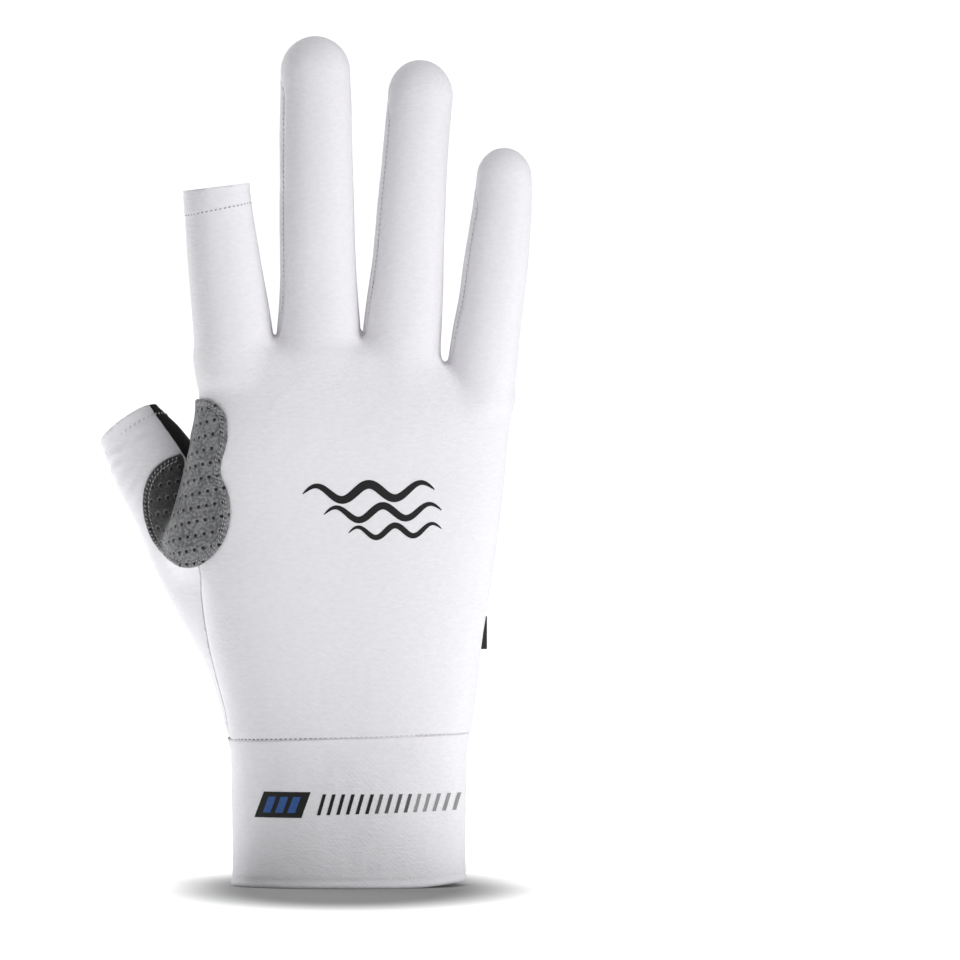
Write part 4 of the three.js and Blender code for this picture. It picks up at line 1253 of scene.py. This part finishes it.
# %% Patch
PATCH_POINTS = [
    (-40.2, 139.1), (-35.2, 135.3), (-34.4, 128.7), (-36.3, 118.4), (-34.0, 111.8), (-33.6, 106.1),
    (-35.2, 99.6), (-38.0, 95.2), (-42.0, 92.0), (-47.2, 91.3), (-52.0, 93.8), (-56.0, 98.3), (-58.6, 105.8),
    (-58.6, 113.0), (-56.6, 117.8), (-52.3, 121.6), (-48.3, 123.4), (-47.2, 129.6), (-46.8, 137.6),
]
PATCH_OUTLINE = smooth_outline(PATCH_POINTS, 90, True)
PATCH_WRAP = 8.0
STITCH_INSIDE = 1.7


PATCH_CLOTH = 0.42
PATCH_LOW, PATCH_HIGH, PATCH_STEP = (-62.0, -22.0, 87.0), (-29.0, 20.0, 143.0), 0.5
# Where the patch folds in the valley, x by height. Beyond it the patch gets painted shade.
FOLD_HEIGHTS = (88.0, 97.0, 101.5, 108.0, 117.0, 126.0, 140.0)
FOLD_X = (-56.0, -53.5, -51.8, -48.7, -46.6, -45.4, -45.4)


def patch_back(x, z):
    """How far back the patch reaches: just round the side above the web, deeper in the fold below it."""
    return PATCH_WRAP - 6.0 * fade(z, 121.0, 129.0) + 12.0 * fade(x, -44.5, -52.0) * fade(z, 128.0, 122.0)


def patch_inside(x, y, z):
    """How far a point lies inside the patch's edge."""
    return np.minimum(inside_outline(x, z, PATCH_OUTLINE), patch_back(x, z) - y)


def patch_height(inside):
    """Height of the patch over the skin: a round edge, a dent under the stitches, and a low crown."""
    edge = 0.50 * np.sqrt(np.clip(inside / 0.8, 0.0, 1.0)) + 0.30 * bell(inside - 0.7, 0.6)
    return 0.30 + edge - 0.40 * bell(inside - STITCH_INSIDE, 0.42) + 0.12 * fade(inside, 2.0, 5.0)


def painted_fold_shade(points, normals):
    """Share of painted shade: 1 beyond the fold, on the lobe that lies in shade, and 0 on the rest of the
    patch.
    """
    fold = np.interp(points[:, 2], FOLD_HEIGHTS, FOLD_X)
    beyond = fade(points[:, 0] - 3.0 * normals[:, 0], fold + 4.2, fold + 2.2)
    return beyond * fade(normals[:, 1], 0.3, -0.1)


patch_values = field_on_grid(PATCH_LOW, PATCH_HIGH, PATCH_STEP)
patch_points, patch_faces = surface_net(patch_values, PATCH_LOW, PATCH_STEP)
for _ in range(3):
    patch_points = even_out(patch_points, patch_faces)
    patch_points, patch_normals = settle(glove_field, patch_points, 1)
patch_points, patch_normals = settle(glove_field, patch_points, 1)
inside = patch_inside(*patch_points.T)
height = patch_height(np.maximum(inside, 0.0)) + 0.06 * soft_noise(patch_points, 5.0, 31)
numbers = {"cloth": cloth_place(patch_points, patch_normals), "inside": inside,
           "nap_and_painted_shade": painted_fold_shade(patch_points, patch_normals)}
near_faces = patch_faces[(inside > -3.0)[patch_faces].all(axis=1)]
patch_mesh = tidy(patch_points + patch_normals * height[:, None], near_faces, NO_TRIS, numbers)
patch_mesh = keep_where(patch_mesh, patch_mesh[3]["inside"])
patch = make_piece("patch_cloth", patch_mesh, [PATCH, PATCH], PATCH_CLOTH, "web_patch")

# %% [markdown]
# ## Stitches
#
# A stitch is a short rounded thread with a few dozen faces. A row of them follows a line on the cloth: the
# line is dropped onto the form from outside, and every stitch is turned along it and lies flat.

# %% Lines dropped onto the cloth
def drop(points, ways, rounds=60):
    """Moves points along their ways by the distance that is left, until they touch the form."""
    for _ in range(rounds):
        points = points + ways * (0.85 * glove_field(*points.T))[:, None]
    _, slope = slope_of(glove_field, points)
    return points, unit(slope)


def flat_line(line, side=-1.0):
    """A line of the flat view, dropped onto the back of the glove, or onto the palm for side 1."""
    start = np.stack([line[:, 0], np.full(len(line), side * 45.0), line[:, 1]], axis=1)
    return drop(start, np.tile((0.0, -side, 0.0), (len(line), 1)))


def evenly(points, normals, spacing):
    """Places, directions and normals at equal steps along a line."""
    lengths = running_length(points)
    at = np.arange(spacing / 2.0, lengths[-1], spacing)

    def read(at, rows):
        return np.stack([np.interp(at, lengths, rows[:, axis]) for axis in range(3)], axis=1)

    way = unit(read(at + 0.2, points) - read(at - 0.2, points))
    normal = read(at, normals)
    normal -= way * (normal * way).sum(axis=1)[:, None]
    return read(at, points), way, unit(normal)


# %% One row of stitches
def stitch_shape(sides=6):
    """Unit stitch: an ellipsoid of three rings and two ends, along the first axis."""
    along = np.array([-0.62, 0.0, 0.62])
    size = np.sqrt(1.0 - along**2)
    turn = np.linspace(0.0, 2.0 * np.pi, sides, endpoint=False)
    round_it = [np.outer(size, wave(turn)).ravel() for wave in (np.cos, np.sin)]
    rings = np.stack([np.repeat(along, sides), *round_it], axis=1)
    points = np.concatenate([rings, [[-1.0, 0.0, 0.0], [1.0, 0.0, 0.0]]])
    ring = np.arange(sides)
    ahead = (ring + 1) % sides
    tris = np.concatenate([
        np.stack([ahead, ring, np.full(sides, 3 * sides)], axis=1),
        np.stack([2 * sides + ring, 2 * sides + ahead, np.full(sides, 3 * sides + 1)], axis=1)])
    return points, grid_quads(3, sides)[:, ::-1], tris[:, ::-1]


def repeated(faces, count, step):
    """The same faces many times over, each time for the next points."""
    return (faces[None] + (np.arange(count) * step)[:, None, None]).reshape(-1, faces.shape[1])


def stitch_row(name, lines, spacing, length, thick, material, lift=0.0, slant=0.0):
    """One piece of all stitches along some lines, each line given as points and normals."""
    shape, quads, tris = stitch_shape()
    along, beside, above = (shape[None, :, axis:axis + 1] for axis in range(3))
    points = []
    for line_points, line_normals in lines:
        place, way, normal = evenly(line_points, line_normals, spacing)
        turned = way * math.cos(slant) + np.cross(normal, way) * math.sin(slant)
        side = np.cross(normal, turned)
        stitches = (place + normal * lift)[:, None] + along * turned[:, None] * length / 2.0 \
            + beside * side[:, None] * thick / 2.0 + above * normal[:, None] * thick * 0.4
        points.append(stitches.reshape(-1, 3))
    points = np.concatenate(points)
    count = len(points) // len(shape)
    faces = (repeated(part, count, len(shape)) for part in (quads, tris))
    make_piece(name, (points, *faces, {"cloth": points[:, [0, 2]]}), [material])
    print(f"{name}: {count} stitches")


# %% Rows on the hems and the cuff seam
def ring_line(middle, across, through, half, count=200):
    """A closed line round a tube: rays come in from an oval outside it."""
    turn = np.linspace(0.0, 2.0 * np.pi, count)
    way = np.cos(turn)[:, None] * np.asarray(across) + np.sin(turn)[:, None] * np.asarray(through)
    return drop(np.asarray(middle) + way * half, -way)


index_line = ring_line((-37.6, 1.2, 193.4), (1.0, 0.0, 0.20), (0.0, 1.0, 0.0), 16.0)
stitch_row("index_hem_stitches", [index_line], spacing=1.35, length=0.8, thick=0.36, material=THREAD_GREY,
           lift=-0.02, slant=0.35)

across = np.array([RIM_LEAN[1], 0.0, -RIM_LEAN[0]])
through = np.array([-0.3 * RIM_LEAN[0], 1.0, -0.3 * RIM_LEAN[1]])
rim_place = THUMB_PLACES[-1] - 3.1 * np.array([RIM_LEAN[0], 0.0, RIM_LEAN[1]])
thumb_hem_line = ring_line(rim_place, across, through, 16.0)
stitch_row("thumb_hem_stitches", [thumb_hem_line], spacing=1.55, length=1.2, thick=0.44,
           material=THREAD_WHITE, lift=0.02, slant=0.75)

turn = np.linspace(0.0, 2.0 * np.pi, 400)
seam_points = cuff_point(turn, np.full(400, 0.999), np.full(400, 0.25)) + (0.0, 0.0, 0.35)
seam_normals = unit(np.stack([np.cos(turn) / 34.8, np.sin(turn) / 22.5, np.zeros(400)], axis=1))
stitch_row("cuff_seam_stitches", [(seam_points, seam_normals)], spacing=1.45, length=1.05, thick=0.34,
           material=THREAD_WITH_PAINTED_SHADE, lift=0.05)

# %% Rows on the fingers' left sides
def side_row(name, low, high):
    """The front seam of the strip on a finger's left side, found by rays that come in from the left."""
    tall = np.linspace(low, high, 160)
    start = np.stack([finger_middle(name, tall) - 13.0, bend(tall) - 4.3, tall], axis=1)
    return drop(start, np.tile((1.0, 0.0, 0.0), (160, 1)))


rows = [side_row("middle", 163.0, 226.0), side_row("ring", 163.0, 219.0), side_row("little", 156.0, 194.0)]
stitch_row("finger_seam_stitches", rows, spacing=1.5, length=0.85, thick=0.30, material=THREAD_WHITE,
           lift=-0.05)

# %% Rows on the patch
def patch_row(inside_by):
    """The part of a line inside the patch's outline that lies on the back of the glove."""
    ahead = unit(np.roll(PATCH_OUTLINE, -1, axis=0) - np.roll(PATCH_OUTLINE, 1, axis=0))
    inwards = np.stack([ahead[:, 1], -ahead[:, 0]], axis=1)
    inwards *= np.sign(np.median(inside_outline(*(PATCH_OUTLINE + inwards * 0.5).T, PATCH_OUTLINE)))
    line = PATCH_OUTLINE + inwards * inside_by
    points, normals = flat_line(np.concatenate([line, line[:1]]))
    limit = patch_back(points[:, 0], points[:, 2])
    good = (glove_field(*points.T) < 0.3) & (points[:, 1] < limit - inside_by - 0.5)
    start = int(np.argmin(good)) if not good.all() else 0
    order = np.roll(np.arange(len(good)), -start)
    order = order[good[order]]
    return points[order] + normals[order] * 0.50, normals[order]


stitch_row("patch_stitches", [patch_row(STITCH_INSIDE)], spacing=1.25, length=1.2, thick=0.34,
           material=THREAD_LIGHT, lift=0.12, slant=0.25)
stitch_row("patch_edge_stitches", [patch_row(STITCH_INSIDE - 0.75)], spacing=1.25, length=0.9, thick=0.28,
           material=THREAD_LIGHT, lift=0.56, slant=0.9)

# %% [markdown]
# ## The print
#
# The back carries a plain mark of three wavy lines and the cuff a row of slanting ticks, both in black ink.
# They are thin skins laid just over the cloth, cut out on the flat view and dropped onto the form.

# %% Print on the back
def ribbon(line, half):
    """Points of a band along a line of the flat view, with its half width at each point."""
    ahead = unit(np.gradient(line, axis=0))
    side = np.stack([-ahead[:, 1], ahead[:, 0]], axis=1)
    share = np.linspace(-1.0, 1.0, 9)
    return line[:, None, :] + side[:, None, :] * half[:, None, None] * share[None, :, None]


def wave_band(left, right, height, swell, half, waves=2.5):
    """A wavy band with pointed ends, laid on the back of the glove as a grid of points."""
    share = np.linspace(0.0, 1.0, 150)
    px = left + (right - left) * share
    pz = height + swell * np.sin(share * waves * 2.0 * np.pi) + 1.2 * share
    taper = np.sqrt(np.clip(np.sin(share * np.pi), 0.02, 1.0))
    band = ribbon(np.stack([px, pz], axis=1), half * taper)
    points, normals = flat_line(band.reshape(-1, 2))
    return (points + normals * (0.07 + skin_push(points))[:, None]).reshape(*band.shape[:2], 3)


def print_piece(name, grids, material, turned=False):
    """One piece of some grids of points of the same size."""
    rows, columns = grids[0].shape[:2]
    faces = grid_quads(rows, columns, loop=False)[:, ::-1 if turned else 1]
    points = np.concatenate([grid.reshape(-1, 3) for grid in grids])
    mesh = (points, repeated(faces, len(grids), rows * columns), NO_TRIS, {"cloth": points[:, [0, 2]]})
    make_piece(name, mesh, [material])
    print(f"{name}: {len(grids)} marks")


# left, right, height, swell, half width
print_piece("back_print", [
    wave_band(-13.0, 24.5, 112.5, 2.1, 1.25),
    wave_band(-7.0, 26.5, 106.6, 1.9, 1.05),
    wave_band(0.0, 26.5, 101.3, 1.6, 0.85),
], INK, True)

# %% Print on the cuff
def cuff_surface(px, pz):
    """Point on the front of the cuff at a place of the flat view, from its super-ellipse."""
    fullness, wide = cuff_oval(pz / cuff_line(px, 0.0))
    share = np.clip(np.abs(px) / wide, 0.0, 0.9999)
    py = -CUFF_DEPTH / 2.0 * (1.0 - share**fullness) ** (1.0 / fullness)
    points = np.stack([px, py, pz], axis=-1)
    out = unit(np.stack([px / wide**2, py / (CUFF_DEPTH / 2.0) ** 2, 0 * px], axis=-1))
    return points + out * (0.09 + cuff_lumps(points.reshape(-1, 3)).reshape(px.shape))[..., None]


def cuff_bars(count, left, step, wide, low, high, slant, climb=0.0):
    """Slanting bars in a row, each a small grid between two upright sides."""
    s, t = np.meshgrid(np.linspace(0.0, 1.0, 7), np.linspace(0.0, 1.0, 13), indexing="ij")
    bars = []
    for number in range(count):
        foot = low + climb * number
        pz = foot + (high - foot) * t
        bars.append(cuff_surface(left + step * number + wide * s + slant * (pz - foot), pz))
    return bars


BLUE_OVER_BLOCK = (0.0, -0.06, 0.0)
# count, left, step, width, low, high, slant, climb
ticks = cuff_bars(15, -9.0, 2.75, 1.0, 21.0, 27.0, 0.28, 0.08)
print_piece("cuff_print_block", cuff_bars(1, -26.8, 0.0, 13.4, 20.2, 27.6, 0.36), INK)
blue_bars = cuff_bars(3, -24.4, 3.5, 2.2, 21.6, 26.2, 0.36)
print_piece("cuff_print_blue", [bar + BLUE_OVER_BLOCK for bar in blue_bars], INK_BLUE)
for shade, (first, last, level) in enumerate(((0, 6, 0.012), (6, 10, 0.10), (10, 15, 0.30))):
    print_piece(f"cuff_print_{shade}", ticks[first:last], ink(f"print_grey_{shade}", grey(level)))

# %% [markdown]
# ## Webbing and clip
#
# The clip is moulded plastic and the loop is woven tape. The CAD solids have their forms, so a copy of each
# is merged into one closed skin and its edges are rounded, as they are on the moulded part.

# %% Rounded copies of two CAD solids
def rounded(node, name, material, width):
    """A merged copy of a CAD solid with its sharp edges bevelled by a width in millimetres."""
    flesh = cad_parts[node].data.copy()
    flesh.name = name
    work = bmesh.new()
    work.from_mesh(flesh)
    bmesh.ops.remove_doubles(work, verts=work.verts, dist=0.00002)
    bmesh.ops.dissolve_limit(work, angle_limit=math.radians(1.0), verts=work.verts, edges=work.edges)
    bmesh.ops.recalc_face_normals(work, faces=work.faces)
    work.to_mesh(flesh)
    work.free()
    flesh.materials.clear()
    flesh.materials.append(material)
    piece = new_object(name, flesh)
    bevel = piece.modifiers.new("round", "BEVEL")
    bevel.width = width * MM
    bevel.segments = 2
    bevel.limit_method = "ANGLE"
    bevel.angle_limit = math.radians(35.0)
    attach(piece, "root")
    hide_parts(node)
    print(f"{name}: {len(flesh.polygons)} faces before rounding")


TAPE = plain_finish("webbing", grey(0.012), 0.85, 900.0, 0.0002)
rounded("clip", "clip_moulding", PLASTIC, 0.16)
rounded("webbing_loop", "webbing_tape", TAPE, 0.12)

# %% [markdown]
# ## Floor and light
#
# The glove stands on white paper before a white background. A large soft light stands in front on the right,
# a weaker one hangs above, and a low one reaches the cuff. Two more stand behind the glove, the left one
# strong, and brighten its edges, so the left half of each finger lies in a light shade.

# %% Floor
def disc(radius, rings, spokes):
    """A round sheet of paper: rings of points, closer together near the middle."""
    out = radius * np.linspace(0.0, 1.0, rings + 1)[1:] ** 2
    turn = np.linspace(0.0, 2.0 * np.pi, spokes, endpoint=False)
    level = np.zeros((rings, spokes))
    points = np.stack([np.outer(out, np.cos(turn)), np.outer(out, np.sin(turn)), level], axis=-1)
    points = np.concatenate([points.reshape(-1, 3), [[0.0, 0.0, 0.0]]])
    spoke = np.arange(spokes)
    fan = np.stack([spoke, (spoke + 1) % spokes, np.full(spokes, rings * spokes)], axis=1)
    flesh = bpy.data.meshes.new("paper")
    flesh.from_pydata(points.tolist(), [], grid_quads(rings, spokes)[:, ::-1].tolist() + fan.tolist())
    return new_object("paper", flesh)


def paper_finish():
    """White paper that glows more and more away from the glove, so that its far edge is as white as the
    background. Close to the glove it is greyer, in an oval, for the soft shadow that lies round the cuff."""
    finish = Finish("paper")
    side, back, _ = finish.split(finish.place())
    away = finish.length(side, finish.times(finish.plus(back, 0.025), 0.42))
    glow = finish.spread(away, 0.028, 0.070, 0.04, 0.92)
    tone = finish.blend(finish.spread(away, 0.028, 0.070), grey(0.27), grey(0.90))
    return finish.set(Base_Color=tone, Roughness=0.8, Specular_IOR_Level=0.1,
                      Emission_Color=(1.0, 1.0, 1.0, 1.0), Emission_Strength=glow)


paper = disc(0.6, 24, 96)
paper.data.materials.append(paper_finish())


# %% Lights
def area_light(name, place, target, size, power):
    """A square soft light that faces a target."""
    data = bpy.data.lights.new(name, "AREA")
    data.size = size
    data.energy = power
    light = new_object(name, data)
    light.location = place
    way = unit(np.asarray(target, float) - place)
    light.rotation_euler = (math.acos(-way[2]), 0.0, math.atan2(-way[0], way[1]))


MIDDLE = (0.0, 0.0, 0.12)
# name, place, target, size in metres, power in watts
area_light("key", (1.20, -0.78, 0.62), MIDDLE, 0.9, 9.2)
area_light("top", (0.20, -0.32, 1.15), (0.0, 0.0, 0.22), 0.7, 3.1)
area_light("low", (0.45, -1.10, 0.12), (0.0, 0.0, 0.04), 0.6, 1.6)
area_light("left_edge", (-0.95, 0.70, 0.50), MIDDLE, 0.8, 8.0)
area_light("right_edge", (1.10, 0.60, 0.50), MIDDLE, 0.7, 0.5)
world = bpy.data.worlds.new("studio")
bpy.context.scene.world = world
world.use_nodes = True
sky = world.node_tree.nodes["Background"]
sky.inputs["Color"].default_value = (0.97, 0.98, 1.0, 1.0)
ray = world.node_tree.nodes.new("ShaderNodeLightPath")
level = world.node_tree.nodes.new("ShaderNodeMapRange")
level.inputs["To Min"].default_value = 0.18
level.inputs["To Max"].default_value = 1.1
world.node_tree.links.new(ray.outputs["Is Camera Ray"], level.inputs["Value"])
world.node_tree.links.new(level.outputs[0], sky.inputs["Strength"])
bpy.context.scene.view_settings.view_transform = "Standard"
